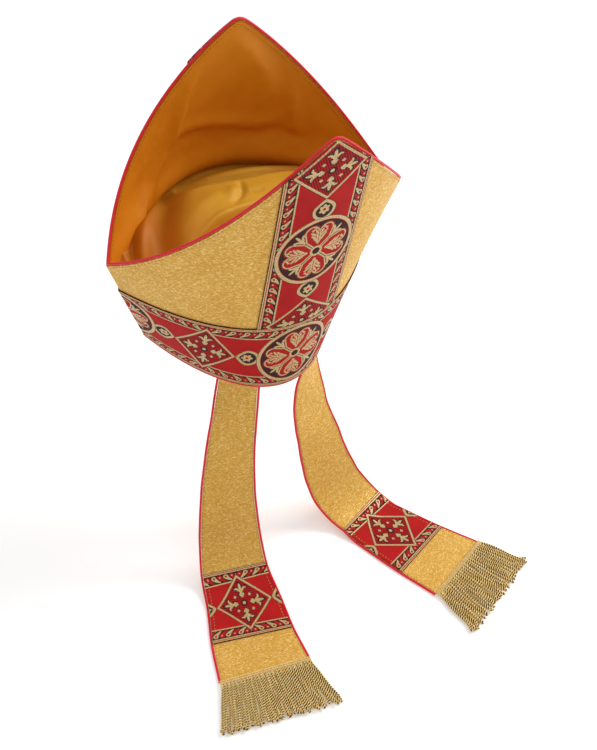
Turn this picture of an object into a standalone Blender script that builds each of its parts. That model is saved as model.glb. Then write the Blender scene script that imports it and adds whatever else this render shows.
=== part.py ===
"""A bishop's mitre with its two lappets, in metres, +Z up, the wearer's face towards -Y.

The origin is the middle of the head opening. The crown is modelled upright in its own frame and leans
back as it sits on a head. The lappets hang from inside the back rim and their ends lie behind it.
"""
import math
from collections import namedtuple

import bmesh
import bpy
import numpy as np
from mathutils import Matrix

# Crown, measured on the outer face of its two panels. A sweep is half the angle of the arc that a
# section is part of, a bow shapes the horn's edge, and the tip's rounding is a share
OPENING_HALF_WIDTH = 0.0967
OPENING_BACK_DEPTH = 0.0982
OPENING_FRONT_DEPTH = 0.0958
OPENING_SWEEP = math.radians(50.6)
CORNER_HEIGHT = 0.1188
CORNER_HALF_WIDTH = 0.1416
CORNER_BACK_DEPTH = 0.0842
CORNER_FRONT_DEPTH = 0.0888
CORNER_SWEEP = math.radians(24.6)
BACK_HORN_HEIGHT = 0.2771
FRONT_HORN_HEIGHT = 0.2700
BACK_EDGE_BOW = 1.02
FRONT_EDGE_BOW = 1.09
HORN_TIP_ROUNDING = 0.02
CROWN_LEAN = math.radians(21.35)

# Cloth layers
GAP = 0.0003
PANEL_THICKNESS = 0.0016
LINING_THICKNESS = 0.0010
LINING_SETBACK = 0.0010
BRAID_WIDTH = 0.0807
BRAID_THICKNESS = 0.0010
HORN_PIPING_DIAMETER = 0.0022
RIM_PIPING_DIAMETER = 0.0026

# Soft lining between the horns
CROWN_LINING_THICKNESS = 0.0012
CROWN_LINING_EDGE = 0.1200
CROWN_LINING_END_DROP = 0.0120
CROWN_LINING_REACH = 0.95
CROWN_LINING_LIFT = 0.0150

# Lappets: fall from the opening's middle to the level where the ends lie
LAPPET_ROOT_OFFSET = 0.0470
LAPPET_ROOT_TUCK = 0.0120
LAPPET_FALL = 0.2500
LAPPET_LAY = 0.1390
LAPPET_LEFT_SWING = 0.0650
LAPPET_RIGHT_SWING = 0.0810
LAPPET_THICKNESS = 0.0016
LAPPET_TOP_WIDTH = 0.0395
LAPPET_END_WIDTH = 0.0885
LAPPET_FLARE = 1.25
LAPPET_PIPING_DIAMETER = 0.0022
LAPPET_PLAIN_END = 0.0400

# Fringes: header thickness, splay, notch and valley are shares
FRINGE_LOCKS = 10
FRINGE_HEADER_DEPTH = 0.0090
FRINGE_HEADER_THICKNESS = 0.88
FRINGE_LENGTH = 0.0570
FRINGE_THICKNESS = 0.0036
FRINGE_SPLAY = 0.29
FRINGE_NOTCH = 0.55
FRINGE_VALLEY = 0.4

# Fineness of the meshes
PANEL_COLUMNS = 32
PANEL_LOWER_ROWS = 2
PANEL_UPPER_ROWS = 4
UPRIGHT_COLUMNS = 8
UPRIGHT_ROWS = 8
CROWN_COLUMNS = 20
CROWN_ROWS = 14
CORNER_TURN = 0.012
RIM_POINTS = 24
LAPPET_COLUMNS = 4
LAPPET_UPPER_ROWS = 17
LAPPET_BRAID_ROWS = 6
LAPPET_END_ROWS = 3
HEADER_ROWS = 1
LOCK_COLUMNS = 4
LOCK_ROWS = 4
PIPING_RESOLUTION = 1
ROUTE_SAMPLES = 400
ARC_SAMPLES = 60
SLOPE_STEP = 1e-4
SHARP_ANGLE = math.radians(50)

Horn = namedtuple("Horn", "name side opening_depth corner_depth height edge_bow")
BACK = Horn("back", 1, OPENING_BACK_DEPTH, CORNER_BACK_DEPTH, BACK_HORN_HEIGHT, BACK_EDGE_BOW)
FRONT = Horn("front", -1, OPENING_FRONT_DEPTH, CORNER_FRONT_DEPTH, FRONT_HORN_HEIGHT, FRONT_EDGE_BOW)
WALL_THICKNESS = PANEL_THICKNESS + GAP + LINING_THICKNESS

# Across the crown lining, from the front wall (-1) to the back wall (1): its lift as a share
Fold = namedtuple("Fold", "at lift")
CROWN_FOLDS_ACROSS = (
    Fold(-1.00, 0.00),
    Fold(-0.86, -0.70),
    Fold(-0.64, 0.35),
    Fold(-0.32, 0.92),
    Fold(0.00, 1.00),
    Fold(0.34, 0.80),
    Fold(0.64, 0.10),
    Fold(0.86, -0.60),
    Fold(1.00, 0.00),
)

# Along the crown lining, from its middle (0) to its corner (1): the share of that lift which is left
CROWN_FOLDS_ALONG = (
    Fold(0.00, 1.00),
    Fold(0.40, 0.95),
    Fold(0.62, 0.50),
    Fold(0.82, -0.25),
    Fold(1.00, 0.00),
)

# A lappet's route: down as a share of its fall, back of its lay and out of its swing, all from the root;
# turn is the angle of its width to +X, in degrees, and bow is how far its edges curve in, by half width
Station = namedtuple("Station", "down back out turn bow")
LEFT_ROUTE = (
    Station(0.068, 0.000, 0.00, -37, 0.11),
    Station(0.140, -0.040, 0.00, -40, 0.11),
    Station(0.280, -0.030, 0.09, -24, 0.05),
    Station(0.425, -0.015, 0.20, -20, 0.02),
    Station(0.590, 0.010, 0.30, -18, 0.02),
    Station(0.730, 0.040, 0.36, -17, 0.01),
    Station(0.875, 0.100, 0.42, -17, 0.00),
    Station(0.968, 0.210, 0.50, -16, 0.00),
    Station(1.000, 0.420, 0.62, -16, 0.00),
    Station(1.000, 0.765, 0.87, -16, 0.00),
    Station(1.000, 1.000, 1.00, -15, 0.00),
)
RIGHT_ROUTE = (
    Station(0.068, 0.000, 0.00, 37, 0.11),
    Station(0.140, -0.040, 0.00, 40, 0.11),
    Station(0.290, -0.030, -0.06, 20, 0.06),
    Station(0.434, -0.025, -0.02, 14, 0.03),
    Station(0.590, -0.005, 0.08, 7, 0.02),
    Station(0.763, 0.010, 0.21, 5, 0.01),
    Station(0.892, 0.060, 0.36, 8, 0.00),
    Station(0.964, 0.160, 0.50, 14, 0.00),
    Station(1.000, 0.330, 0.60, 18, 0.00),
    Station(1.000, 0.710, 0.81, 20, 0.00),
    Station(1.000, 1.000, 1.00, 20, 0.00),
)
Lappet = namedtuple("Lappet", "name side swing route sway")
LAPPETS = (
    Lappet("left", 1, LAPPET_LEFT_SWING, LEFT_ROUTE, 0.00),
    Lappet("right", -1, LAPPET_RIGHT_SWING, RIGHT_ROUTE, 0.12),
)


def clear_scene():
    for thing in list(bpy.data.objects):
        bpy.data.objects.remove(thing)


def make_material(name, colour, roughness, metallic=0.0):
    material = bpy.data.materials.new(name)
    material.use_nodes = True
    shader = material.node_tree.nodes["Principled BSDF"]
    shader.inputs["Base Color"].default_value = (*colour, 1)
    shader.inputs["Roughness"].default_value = roughness
    shader.inputs["Metallic"].default_value = metallic
    return material


def brocade_material(name):
    return make_material(name, (0.62, 0.37, 0.09), 0.42, 0.35)


def satin_material(name):
    return make_material(name, (0.50, 0.17, 0.01), 0.38)


def braid_material(name):
    return make_material(name, (0.36, 0.02, 0.02), 0.60)


def piping_material(name):
    return make_material(name, (0.55, 0.02, 0.05), 0.55)


def bullion_material(name):
    return make_material(name, (0.55, 0.38, 0.15), 0.40, 0.40)


def finish(thing, parent):
    bpy.context.scene.collection.objects.link(thing)
    thing.parent = parent
    return thing


def border_of(rows, columns):
    """The outline of a grid, as (row, column) pairs in order."""
    bottom = [(0, c) for c in range(columns - 1)]
    right = [(r, columns - 1) for r in range(rows - 1)]
    top = [(rows - 1, c) for c in range(columns - 1, 0, -1)]
    left = [(r, 0) for r in range(rows - 1, 0, -1)]
    return bottom + right + top + left


def closed_sheet(name, outer, inner, material, parent=None):
    """A solid sheet between two grids of points of the same rows and columns."""
    rows, columns = len(outer), len(outer[0])
    mesh = bmesh.new()
    faces = [[[mesh.verts.new(point) for point in row] for row in grid] for grid in (outer, inner)]
    for grid in faces:
        for r in range(rows - 1):
            for c in range(columns - 1):
                near, far = (c, c + 1) if c < (columns - 1) / 2 else (c + 1, c)
                mesh.faces.new((grid[r][near], grid[r][far], grid[r + 1][far]))
                mesh.faces.new((grid[r][near], grid[r + 1][far], grid[r + 1][near]))
    border = border_of(rows, columns)
    for (r0, c0), (r1, c1) in zip(border, border[1:] + border[:1]):
        mesh.faces.new((faces[0][r0][c0], faces[0][r1][c1], faces[1][r1][c1], faces[1][r0][c0]))
    bmesh.ops.recalc_face_normals(mesh, faces=mesh.faces)
    data = bpy.data.meshes.new(name)
    mesh.to_mesh(data)
    mesh.free()
    data.shade_smooth()
    data.set_sharp_from_angle(angle=SHARP_ANGLE)
    data.materials.append(material)
    return finish(bpy.data.objects.new(name, data), parent)


def piping_along(name, points, diameter, closed, material, parent=None):
    curve = bpy.data.curves.new(name, "CURVE")
    curve.dimensions = "3D"
    curve.bevel_depth = diameter / 2
    curve.bevel_resolution = PIPING_RESOLUTION
    curve.use_fill_caps = not closed
    spline = curve.splines.new("POLY")
    spline.points.add(len(points) - 1)
    for knot, point in zip(spline.points, points):
        knot.co = (*point, 1)
    spline.use_cyclic_u = closed
    curve.materials.append(material)
    return finish(bpy.data.objects.new(name, curve), parent)


def smooth_curve(knots, values, at):
    """Values read between the knots on a smooth curve through them, in as many columns as values has."""
    knots, values, at = np.asarray(knots), np.asarray(values, float), np.atleast_1d(at)
    slopes = np.gradient(values, knots, axis=0)
    i = np.clip(np.searchsorted(knots, at) - 1, 0, len(knots) - 2)
    span = knots[i + 1] - knots[i]
    u = (at - knots[i]) / span
    if values.ndim == 2:
        span, u = span[:, None], u[:, None]
    start = (1 + 2 * u) * (1 - u) ** 2 * values[i] + u * (1 - u) ** 2 * span * slopes[i]
    end = u**2 * (3 - 2 * u) * values[i + 1] - u**2 * (1 - u) * span * slopes[i + 1]
    return start + end


def fold_lift(folds, at):
    return float(smooth_curve([fold.at for fold in folds], [fold.lift for fold in folds], at)[0])


def unit(vector):
    return vector / np.linalg.norm(vector, axis=-1, keepdims=True)


def section(t, half_width, depth, sweep):
    """A half section from side seam (t = -1) to side seam (t = 1): a sweep of 90 degrees is an ellipse."""
    x = half_width * math.sin(sweep * t) / math.sin(sweep)
    y = depth * (math.cos(sweep * t) - math.cos(sweep)) / (1 - math.cos(sweep))
    return np.array([x, y])


def skin(horn, t, height):
    """The outer face of a panel: straight lines from the opening through the corner level into the horn."""
    foot = section(t, OPENING_HALF_WIDTH, horn.opening_depth, OPENING_SWEEP)
    knee = section(t, CORNER_HALF_WIDTH, horn.corner_depth, CORNER_SWEEP)
    x, y = foot + (knee - foot) * height / CORNER_HEIGHT
    return np.array([x, horn.side * y, height])


def skin_axes(horn, t, height):
    """Unit vectors on the skin: along the section towards +X, and outwards."""
    along = skin(horn, t + SLOPE_STEP, height) - skin(horn, t - SLOPE_STEP, height)
    up = skin(horn, t, height + SLOPE_STEP) - skin(horn, t, height - SLOPE_STEP)
    return unit(along), horn.side * unit(np.cross(up, along))


def wall_point(horn, t, height, proud):
    """A point this far outside the skin, or inside it if negative, with a mitred joint at the side seam."""
    along, out = skin_axes(horn, t, height)
    point = skin(horn, t, height) + out * proud
    if abs(t) == 1:
        point = point + along * (horn.side * GAP / 2 - point[1]) / along[1]
    return point


def horn_edge(horn, t):
    """Height of the horn's edge over the section: the tip is at t = 0 and the corners at t = -1 and 1."""
    share = math.sqrt(t**2 + (HORN_TIP_ROUNDING * (1 - t**2)) ** 2)
    return CORNER_HEIGHT + (horn.height - CORNER_HEIGHT) * (1 - share) ** horn.edge_bow


def section_place(horn, distance, height):
    """The t at this distance from the middle of the section, along the cloth."""
    ts = np.linspace(0, 1, ARC_SAMPLES)
    points = np.array([skin(horn, t, height) for t in ts])
    arc = np.concatenate([[0], np.cumsum(np.linalg.norm(np.diff(points, axis=0), axis=1))])
    return math.copysign(np.interp(abs(distance), arc, ts), distance)


def wall_sheet(name, horn, places, proud, thickness, material, parent):
    """A sheet on the wall: places is a grid of (t, height), proud is where its inner face lies."""
    outer = [[wall_point(horn, t, height, proud + thickness) for t, height in row] for row in places]
    inner = [[wall_point(horn, t, height, proud) for t, height in row] for row in places]
    return closed_sheet(name, outer, inner, material, parent)


def full_width_places(low, top, rows):
    """A grid from seam to seam, from the height low up to top(t)."""
    ts = np.linspace(-1, 1, PANEL_COLUMNS + 1)
    return [[(t, low + (top(t) - low) * r / rows) for t in ts] for r in range(rows + 1)]


def band_places():
    return full_width_places(0, lambda t: BRAID_WIDTH, PANEL_LOWER_ROWS)


def panel_places(horn, setback):
    """The band's rows, so that both bend at the same lines, then rows up to the horn's edge."""
    upper = full_width_places(BRAID_WIDTH, lambda t: horn_edge(horn, t) - setback, PANEL_UPPER_ROWS)
    return band_places() + upper[1:]


def make_panel(horn, parent):
    places = panel_places(horn, 0)
    material = brocade_material(horn.name + "_panel")
    wall_sheet(horn.name + "_panel", horn, places, -PANEL_THICKNESS, PANEL_THICKNESS, material, parent)


def make_lining(horn, parent):
    places = panel_places(horn, LINING_SETBACK)
    material = satin_material(horn.name + "_lining")
    wall_sheet(horn.name + "_lining", horn, places, -WALL_THICKNESS, LINING_THICKNESS, material, parent)


def make_band(horn, parent):
    material = braid_material(horn.name + "_band")
    wall_sheet(horn.name + "_band", horn, band_places(), GAP, BRAID_THICKNESS, material, parent)


def make_upright_band(horn, parent):
    """The upright braid stands on the band and its top follows the horn's edge."""
    low = BRAID_WIDTH + GAP
    offsets = np.linspace(-BRAID_WIDTH / 2, BRAID_WIDTH / 2, UPRIGHT_COLUMNS + 1)
    tops = [horn_edge(horn, section_place(horn, d, horn.height)) for d in offsets]
    places = []
    for r in range(UPRIGHT_ROWS + 1):
        heights = [low + (top - low) * r / UPRIGHT_ROWS for top in tops]
        places.append([(section_place(horn, d, h), h) for d, h in zip(offsets, heights)])
    material = braid_material(horn.name + "_upright_band")
    wall_sheet(horn.name + "_upright_band", horn, places, GAP, BRAID_THICKNESS, material, parent)


def edge_path(horn, ts, distance):
    """Points beyond the horn's edge, in the middle of the wall's thickness."""
    path = []
    for t in ts:
        height = horn_edge(horn, t)
        edge = wall_point(horn, t, height, -WALL_THICKNESS / 2)
        ahead = wall_point(horn, t + SLOPE_STEP, horn_edge(horn, t + SLOPE_STEP), -WALL_THICKNESS / 2)
        out = skin_axes(horn, t, height)[1]
        path.append(edge + unit(horn.side * np.cross(ahead - edge, out)) * distance)
    return path


def make_horn_piping(parent):
    """One cord round both horns' edges, which turns at the two corners."""
    ts = np.linspace(-1, 1, PANEL_COLUMNS + 1)
    ts[[0, -1]] *= 1 - CORNER_TURN
    distance = GAP + HORN_PIPING_DIAMETER / 2
    path = edge_path(BACK, ts, distance) + edge_path(FRONT, ts[::-1], distance)
    piping_along("horn_piping", path, HORN_PIPING_DIAMETER, True, piping_material("horn_piping"), parent)


def make_rim_piping(parent):
    """One cord under the walls, all round the head opening, flush with the band's face."""
    ts = np.linspace(-1, 1, RIM_POINTS + 1)[:-1]
    low = GAP + RIM_PIPING_DIAMETER / 2
    proud = GAP + BRAID_THICKNESS - RIM_PIPING_DIAMETER / 2
    path = [wall_point(BACK, t, 0, proud) for t in ts]
    path += [wall_point(FRONT, t, 0, proud) for t in -ts]
    path = [(x, y, -low) for x, y, _ in path]
    piping_along("rim_piping", path, RIM_PIPING_DIAMETER, True, piping_material("rim_piping"), parent)


def offset_grid(grid, distance):
    """The grid moved this far along its own normals."""
    along = np.gradient(grid, axis=1)
    ahead = np.gradient(grid, axis=0)
    return grid + unit(np.cross(along, ahead)) * distance


def crown_lining_grid():
    """Rows run from the front wall to the back wall, columns from corner to corner."""
    clear = -(WALL_THICKNESS + GAP + CROWN_LINING_THICKNESS)
    grid = []
    for w in np.linspace(-1, 1, CROWN_ROWS + 1):
        row = []
        for u in np.linspace(-1, 1, CROWN_COLUMNS + 1):
            t = u * CROWN_LINING_REACH
            height = CROWN_LINING_EDGE - CROWN_LINING_END_DROP * u**2
            front, back = (wall_point(horn, t, height, clear) for horn in (FRONT, BACK))
            point = front + (back - front) * (w + 1) / 2
            lift = fold_lift(CROWN_FOLDS_ACROSS, w) * fold_lift(CROWN_FOLDS_ALONG, abs(u))
            point[2] += CROWN_LINING_LIFT * lift
            row.append(point)
        grid.append(row)
    return np.array(grid)


def make_crown_lining(parent):
    upper = crown_lining_grid()
    lower = offset_grid(upper, -CROWN_LINING_THICKNESS)
    closed_sheet("crown_lining", upper, lower, satin_material("crown_lining"), parent)


def lappet_root():
    """Where a lappet's middle starts, inside the back lining just above the rim, in the part's frame."""
    t = section_place(BACK, LAPPET_ROOT_OFFSET, LAPPET_ROOT_TUCK)
    inset = WALL_THICKNESS + GAP + LAPPET_PIPING_DIAMETER / 2 + GAP
    point = wall_point(BACK, t, LAPPET_ROOT_TUCK, -inset)
    return np.array(Matrix.Rotation(-CROWN_LEAN, 3, "X") @ Matrix.Translation(point).to_translation())


class LappetLine:
    """A lappet's middle line: places, directions and widths by distance along it."""

    def __init__(self, lappet):
        root = lappet_root()
        start = lappet.route[0].down
        floor = -LAPPET_FALL + LAPPET_PIPING_DIAMETER / 2
        rows = [
            (
                lappet.side * (root[0] + station.out * lappet.swing),
                root[1] + station.back * LAPPET_LAY,
                root[2] + (floor - root[2]) * (station.down - start) / (1 - start),
                station.turn,
                station.bow,
            )
            for station in lappet.route
        ]
        rows = np.array(rows)
        knots = np.concatenate([[0], np.cumsum(np.linalg.norm(np.diff(rows[:, :3], axis=0), axis=1))])
        self.rows = smooth_curve(knots, rows, np.linspace(0, knots[-1], ROUTE_SAMPLES))
        self.rows[:, 2] = np.maximum(self.rows[:, 2], floor)
        self.middle = self.rows[:, :3]
        steps = np.linalg.norm(np.diff(self.middle, axis=0), axis=1)
        self.arc = np.concatenate([[0], np.cumsum(steps)])
        self.length = self.arc[-1]
        self.ahead = unit(np.gradient(self.middle, axis=0))

    def read(self, table, distance):
        return np.array([np.interp(distance, self.arc, column) for column in np.atleast_2d(table.T)])

    def axes(self, distance):
        """The middle point, and unit vectors ahead, across towards +X and out of the outer face."""
        ahead = unit(self.read(self.ahead, distance))
        turn = math.radians(self.read(self.rows[:, 3], distance)[0])
        across = np.array([math.cos(turn), math.sin(turn), 0])
        across = unit(across - ahead * np.dot(across, ahead))
        return self.read(self.middle, distance), ahead, across, np.cross(across, ahead)

    def half_width(self, distance):
        share = (distance / self.length) ** LAPPET_FLARE
        return (LAPPET_TOP_WIDTH + (LAPPET_END_WIDTH - LAPPET_TOP_WIDTH) * share) / 2

    def point(self, distance, share, inset, proud):
        """A point by its share of the half width, once inset from the edge, and its height off it."""
        middle, _, across, out = self.axes(distance)
        half = self.half_width(distance) - inset
        bow = self.read(self.rows[:, 4], distance)[0] * half * share**2
        return middle + across * half * share + out * (proud - bow)


def lappet_distances(line):
    """Distances of the rows: down to the braid, along the braid, and along the plain end."""
    braid_end = line.length - LAPPET_PLAIN_END
    braid_start = braid_end - BRAID_WIDTH
    upper = np.linspace(0, braid_start, LAPPET_UPPER_ROWS + 1)
    braid = np.linspace(braid_start, braid_end, LAPPET_BRAID_ROWS + 1)
    plain = np.linspace(braid_end, line.length, LAPPET_END_ROWS + 1)
    return np.concatenate([upper, braid[1:], plain[1:]]), braid


def lappet_sheet(name, line, distances, low, high, material):
    """A sheet along the lappet between two heights off its middle, as wide as the pipings leave."""
    inset = LAPPET_PIPING_DIAMETER + GAP
    shares = np.linspace(-1, 1, LAPPET_COLUMNS + 1)
    outer, inner = (
        [[line.point(d, a, inset, proud) for a in shares] for d in distances] for proud in (high, low)
    )
    closed_sheet(name, outer, inner, material)


def make_lappet(lappet, line):
    name = lappet.name + "_lappet"
    half = LAPPET_THICKNESS / 2
    distances, braid = lappet_distances(line)
    lappet_sheet(name, line, distances, -half, half, brocade_material(name))
    low = half + GAP
    lappet_sheet(name + "_braid", line, braid, low, low + BRAID_THICKNESS, braid_material(name + "_braid"))
    for edge, share in (("inner", -lappet.side), ("outer", lappet.side)):
        path = [line.point(d, share, LAPPET_PIPING_DIAMETER / 2, 0) for d in distances]
        material = piping_material(f"{name}_{edge}_piping")
        piping_along(f"{name}_{edge}_piping", path, LAPPET_PIPING_DIAMETER, False, material)


def fringe_places():
    """Rows of shares from the header's top (0) to the longest tip (1), and each column's fullness."""
    header = FRINGE_HEADER_DEPTH / FRINGE_LENGTH
    columns = FRINGE_LOCKS * LOCK_COLUMNS
    fullness = np.sin(math.pi * (np.arange(columns + 1) % LOCK_COLUMNS) / LOCK_COLUMNS)
    rows = [np.full(columns + 1, header * r / HEADER_ROWS) for r in range(HEADER_ROWS + 1)]
    reach = FRINGE_NOTCH + (1 - FRINGE_NOTCH) * fullness
    for r in range(1, LOCK_ROWS + 1):
        rows.append(header + (reach - header) * r / LOCK_ROWS)
    return rows, fullness


def make_fringe(lappet, line):
    """Locks of cord in one piece with their header, flat on the level where the lappet's end lies."""
    middle, ahead, across, _ = line.axes(line.length)
    middle = middle + ahead * GAP
    middle[2] = -LAPPET_FALL
    half = line.half_width(line.length)
    sway = unit(ahead + across * lappet.sway)
    rows, fullness = fringe_places()
    shares = np.linspace(-1, 1, len(fullness))
    lower, upper = [], []
    for r, row in enumerate(rows):
        below, above = [], []
        for share, along, full in zip(shares, row, fullness):
            run = sway if r > HEADER_ROWS else ahead
            spread = 1 + FRINGE_SPLAY * along
            point = middle + run * along * FRINGE_LENGTH + across * share * half * spread
            thick = FRINGE_VALLEY + (1 - FRINGE_VALLEY) * full if r > HEADER_ROWS else FRINGE_HEADER_THICKNESS
            below.append(point)
            above.append(point + np.array([0, 0, FRINGE_THICKNESS * thick]))
        lower.append(below)
        upper.append(above)
    name = lappet.name + "_fringe"
    closed_sheet(name, upper, lower, bullion_material(name))


def build():
    clear_scene()
    crown = bpy.data.objects.new("crown_lean", None)
    crown.rotation_euler.x = -CROWN_LEAN
    bpy.context.scene.collection.objects.link(crown)
    for horn in (BACK, FRONT):
        make_panel(horn, crown)
        make_lining(horn, crown)
        make_band(horn, crown)
        make_upright_band(horn, crown)
    make_crown_lining(crown)
    make_horn_piping(crown)
    make_rim_piping(crown)
    for lappet in LAPPETS:
        line = LappetLine(lappet)
        make_lappet(lappet, line)
        make_fringe(lappet, line)


build()
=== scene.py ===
"""Looks of the bishop's mitre: brocade, woven braid, satin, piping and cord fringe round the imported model.

Lengths are in metres and +Z is up. Left and right are the wearer's, and left is +X. The crown's pieces
are worked out upright, in the crown's own frame, and then leaned back. Each piece of cloth has a UV map
that holds metres along and across it, which its pattern follows.
"""
import math
from collections import namedtuple

import bpy
import numpy as np
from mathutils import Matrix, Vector


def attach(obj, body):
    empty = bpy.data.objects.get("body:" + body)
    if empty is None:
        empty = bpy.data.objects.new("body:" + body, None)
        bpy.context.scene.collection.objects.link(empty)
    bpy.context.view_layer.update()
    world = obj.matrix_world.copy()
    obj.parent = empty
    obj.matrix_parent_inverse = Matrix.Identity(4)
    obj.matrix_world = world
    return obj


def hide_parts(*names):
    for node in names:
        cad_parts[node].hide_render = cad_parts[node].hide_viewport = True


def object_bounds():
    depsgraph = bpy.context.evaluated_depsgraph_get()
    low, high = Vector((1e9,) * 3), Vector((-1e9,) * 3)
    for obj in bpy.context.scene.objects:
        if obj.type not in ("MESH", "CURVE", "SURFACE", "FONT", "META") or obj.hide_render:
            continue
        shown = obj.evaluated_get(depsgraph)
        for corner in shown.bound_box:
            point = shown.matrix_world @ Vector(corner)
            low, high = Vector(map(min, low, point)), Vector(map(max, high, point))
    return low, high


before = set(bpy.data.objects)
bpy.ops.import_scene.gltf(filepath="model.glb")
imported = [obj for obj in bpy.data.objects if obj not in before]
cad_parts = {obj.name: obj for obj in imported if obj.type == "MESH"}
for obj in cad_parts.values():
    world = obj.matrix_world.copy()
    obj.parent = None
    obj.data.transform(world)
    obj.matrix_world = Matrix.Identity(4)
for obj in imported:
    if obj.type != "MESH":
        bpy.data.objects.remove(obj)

CAD_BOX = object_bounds()

# Crown, on the outer face of its panels, as in the CAD model
OPENING_HALF_WIDTH = 0.0967
OPENING_BACK_DEPTH = 0.0982
OPENING_FRONT_DEPTH = 0.0958
OPENING_SWEEP = math.radians(50.6)
CORNER_HEIGHT = 0.1188
CORNER_HALF_WIDTH = 0.1416
CORNER_BACK_DEPTH = 0.0842
CORNER_FRONT_DEPTH = 0.0888
CORNER_SWEEP = math.radians(24.6)
BACK_HORN_HEIGHT = 0.2771
FRONT_HORN_HEIGHT = 0.2700
BACK_EDGE_BOW = 1.02
FRONT_EDGE_BOW = 1.09
HORN_TIP_ROUNDING = 0.02
CROWN_LEAN = math.radians(21.35)

# Cloth layers
GAP = 0.0003
PANEL_THICKNESS = 0.0016
LINING_THICKNESS = 0.0010
WALL_THICKNESS = PANEL_THICKNESS + GAP + LINING_THICKNESS
LINING_SETBACK = 0.0010
LINING_LOOSENESS = 0.0012
LINING_BULGE_HEIGHT = 0.1120
LINING_BULGE_REACH = 0.0150
BRAID_WIDTH = 0.0807
BRAID_THICKNESS = 0.0010
HORN_PIPING_DIAMETER = 0.0022
RIM_PIPING_DIAMETER = 0.0026

# Soft satin between the horns
CROWN_SATIN_THICKNESS = 0.0012
CROWN_SATIN_REACH = 0.965
CROWN_SATIN_EDGE = 0.1200
CROWN_SATIN_END_DROP = 0.0120
CROWN_SATIN_LIFT = 0.0150

# Where the painted shade on the satin starts and ends deepening its colour towards its sides, in millimetres
# from its middle
SATIN_SIDE_SHADE_SPAN = (30, 90)

# Lappets
LAPPET_ROOT_OFFSET = 0.0470
LAPPET_ROOT_TUCK = 0.0120
LAPPET_FALL = 0.2500
LAPPET_LAY = 0.1390
LAPPET_LEFT_SWING = 0.0650
LAPPET_RIGHT_SWING = 0.0810
LAPPET_THICKNESS = 0.0016
LAPPET_TOP_WIDTH = 0.0395
LAPPET_END_WIDTH = 0.0885
LAPPET_FLARE = 1.25
LAPPET_PIPING_DIAMETER = 0.0022
LAPPET_PLAIN_END = 0.0400
LAPPET_RIPPLE = 0.0004
LAPPET_RIPPLE_PITCH = 0.0520

# Fringes
FRINGE_LENGTH = 0.0570
FRINGE_HEADER_DEPTH = 0.0090
FRINGE_SPLAY = 0.29
FRINGE_CORDS = 25
FRINGE_LAYERS = 3
FRINGE_PLY_DIAMETER = 0.00165
FRINGE_TWIST_PITCH = 0.0052
FRINGE_CURL = 0.0030
HEADER_CORDS = 4

# Sewing threads
STITCH_LENGTH = 0.0022
STITCH_PITCH = 0.0036
STITCH_THICKNESS = 0.0005
STITCH_INSET = 0.0034
FACE_STITCH_INSET = 0.0022
STITCH_SINK = 0.00005

# The woven braid's pattern, in millimetres. One repeat is medallion, link, diamond, link.
REPEAT = 163.6
MEDALLION_HEIGHT = 0.1655
MEDALLION_HALF = (35.1, 36.4)
RING_WIDTH = 3.0
EYE_RADII = (5.4, 3.4)
PETAL_INNER, PETAL_OUTER = (8.6, 1.0), (21.6, 6.6)
PETAL_RADII = (8.8, 6.4)
PETAL_SPACING = 0.35
OUTLINE_WIDTH = 1.25
LINK_PLACE = 43.9
LINK_RADIUS = 10.7
LINK_SLOPE = math.radians(38)
LINK_CUT = 8.9
LINK_LINE = 2.6
LINK_SOFTNESS = 5.0
FLOWER_RADIUS = 4.4
FLOWER_WAVE = 0.8
FLOWER_EYE = 1.4
DIAMOND_HALF = (27.5, 33.3)
DIAMOND_LINE = 2.0
DIAMOND_DOT_PLACE, DIAMOND_DOT_RADIUS = 7.3, 1.6
TWILL_PITCH = 2.1
TWILL_SLOPE = math.radians(24)
COMMA_PITCH = 6.1
COMMA_START = 4.0
COMMA_HEAD = 6.5
COMMA_HALF_WIDTH = 2.7
COMMA_HEAD_HALF, COMMA_TAIL_HALF = 2.4, 5.4
COMMA_LEAN = 6.2
COMMA_DOTS = (0.75, 1.15)

# Camera: place and aim, and its lens for a sensor's long side
CAMERA_PLACE = (0.4055, 0.7336, 0.5720)
CAMERA_AIM = (-0.0214, 0.0764, -0.0492)
CAMERA_LENS = 50.93
CAMERA_SENSOR = 36.0
SKY_HORIZON, SKY_TOP = 0.27, 1.03
FLOOR_DROP = 0.0004
FLOOR_SIZE = 12.0
FLOOR_GLOW = 0.17
KEY_PLACE, KEY_AIM = (-1.25, 0.35, 0.95), (0, 0.1, 0)
KEY_SIZE, KEY_POWER = (0.7, 0.7), 15.0

# Fineness of the meshes
PANEL_COLUMNS = 128
PANEL_ROWS = 56
BAND_ROWS = 16
UPRIGHT_COLUMNS = 28
UPRIGHT_ROWS = 56
CROWN_COLUMNS = 150
CROWN_ROWS = 96
LAPPET_COLUMNS = 14
LAPPET_ROWS = 110
BRAID_ROWS = 26
PIPING_SIDES = 12
ARC_STEPS = 24
CREASE_STEPS = 160
SLOPE_STEP = 1e-4
ROUTE_SAMPLES = 400

Horn = namedtuple("Horn", "name side opening_depth corner_depth height edge_bow bulge")
BACK = Horn("back", 1, OPENING_BACK_DEPTH, CORNER_BACK_DEPTH, BACK_HORN_HEIGHT, BACK_EDGE_BOW, 0.0030)
FRONT = Horn("front", -1, OPENING_FRONT_DEPTH, CORNER_FRONT_DEPTH, FRONT_HORN_HEIGHT, FRONT_EDGE_BOW, 0.0085)

# Across the crown satin, from the front wall (-1) to the back wall (1): its lift as a share
Fold = namedtuple("Fold", "at lift")
CROWN_FOLDS_ACROSS = (
    Fold(-1.00, -1.60),
    Fold(-0.86, -1.25),
    Fold(-0.64, -0.10),
    Fold(-0.32, 0.84),
    Fold(0.00, 1.00),
    Fold(0.34, 0.72),
    Fold(0.64, -0.10),
    Fold(0.86, -0.88),
    Fold(1.00, -1.22),
)

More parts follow.
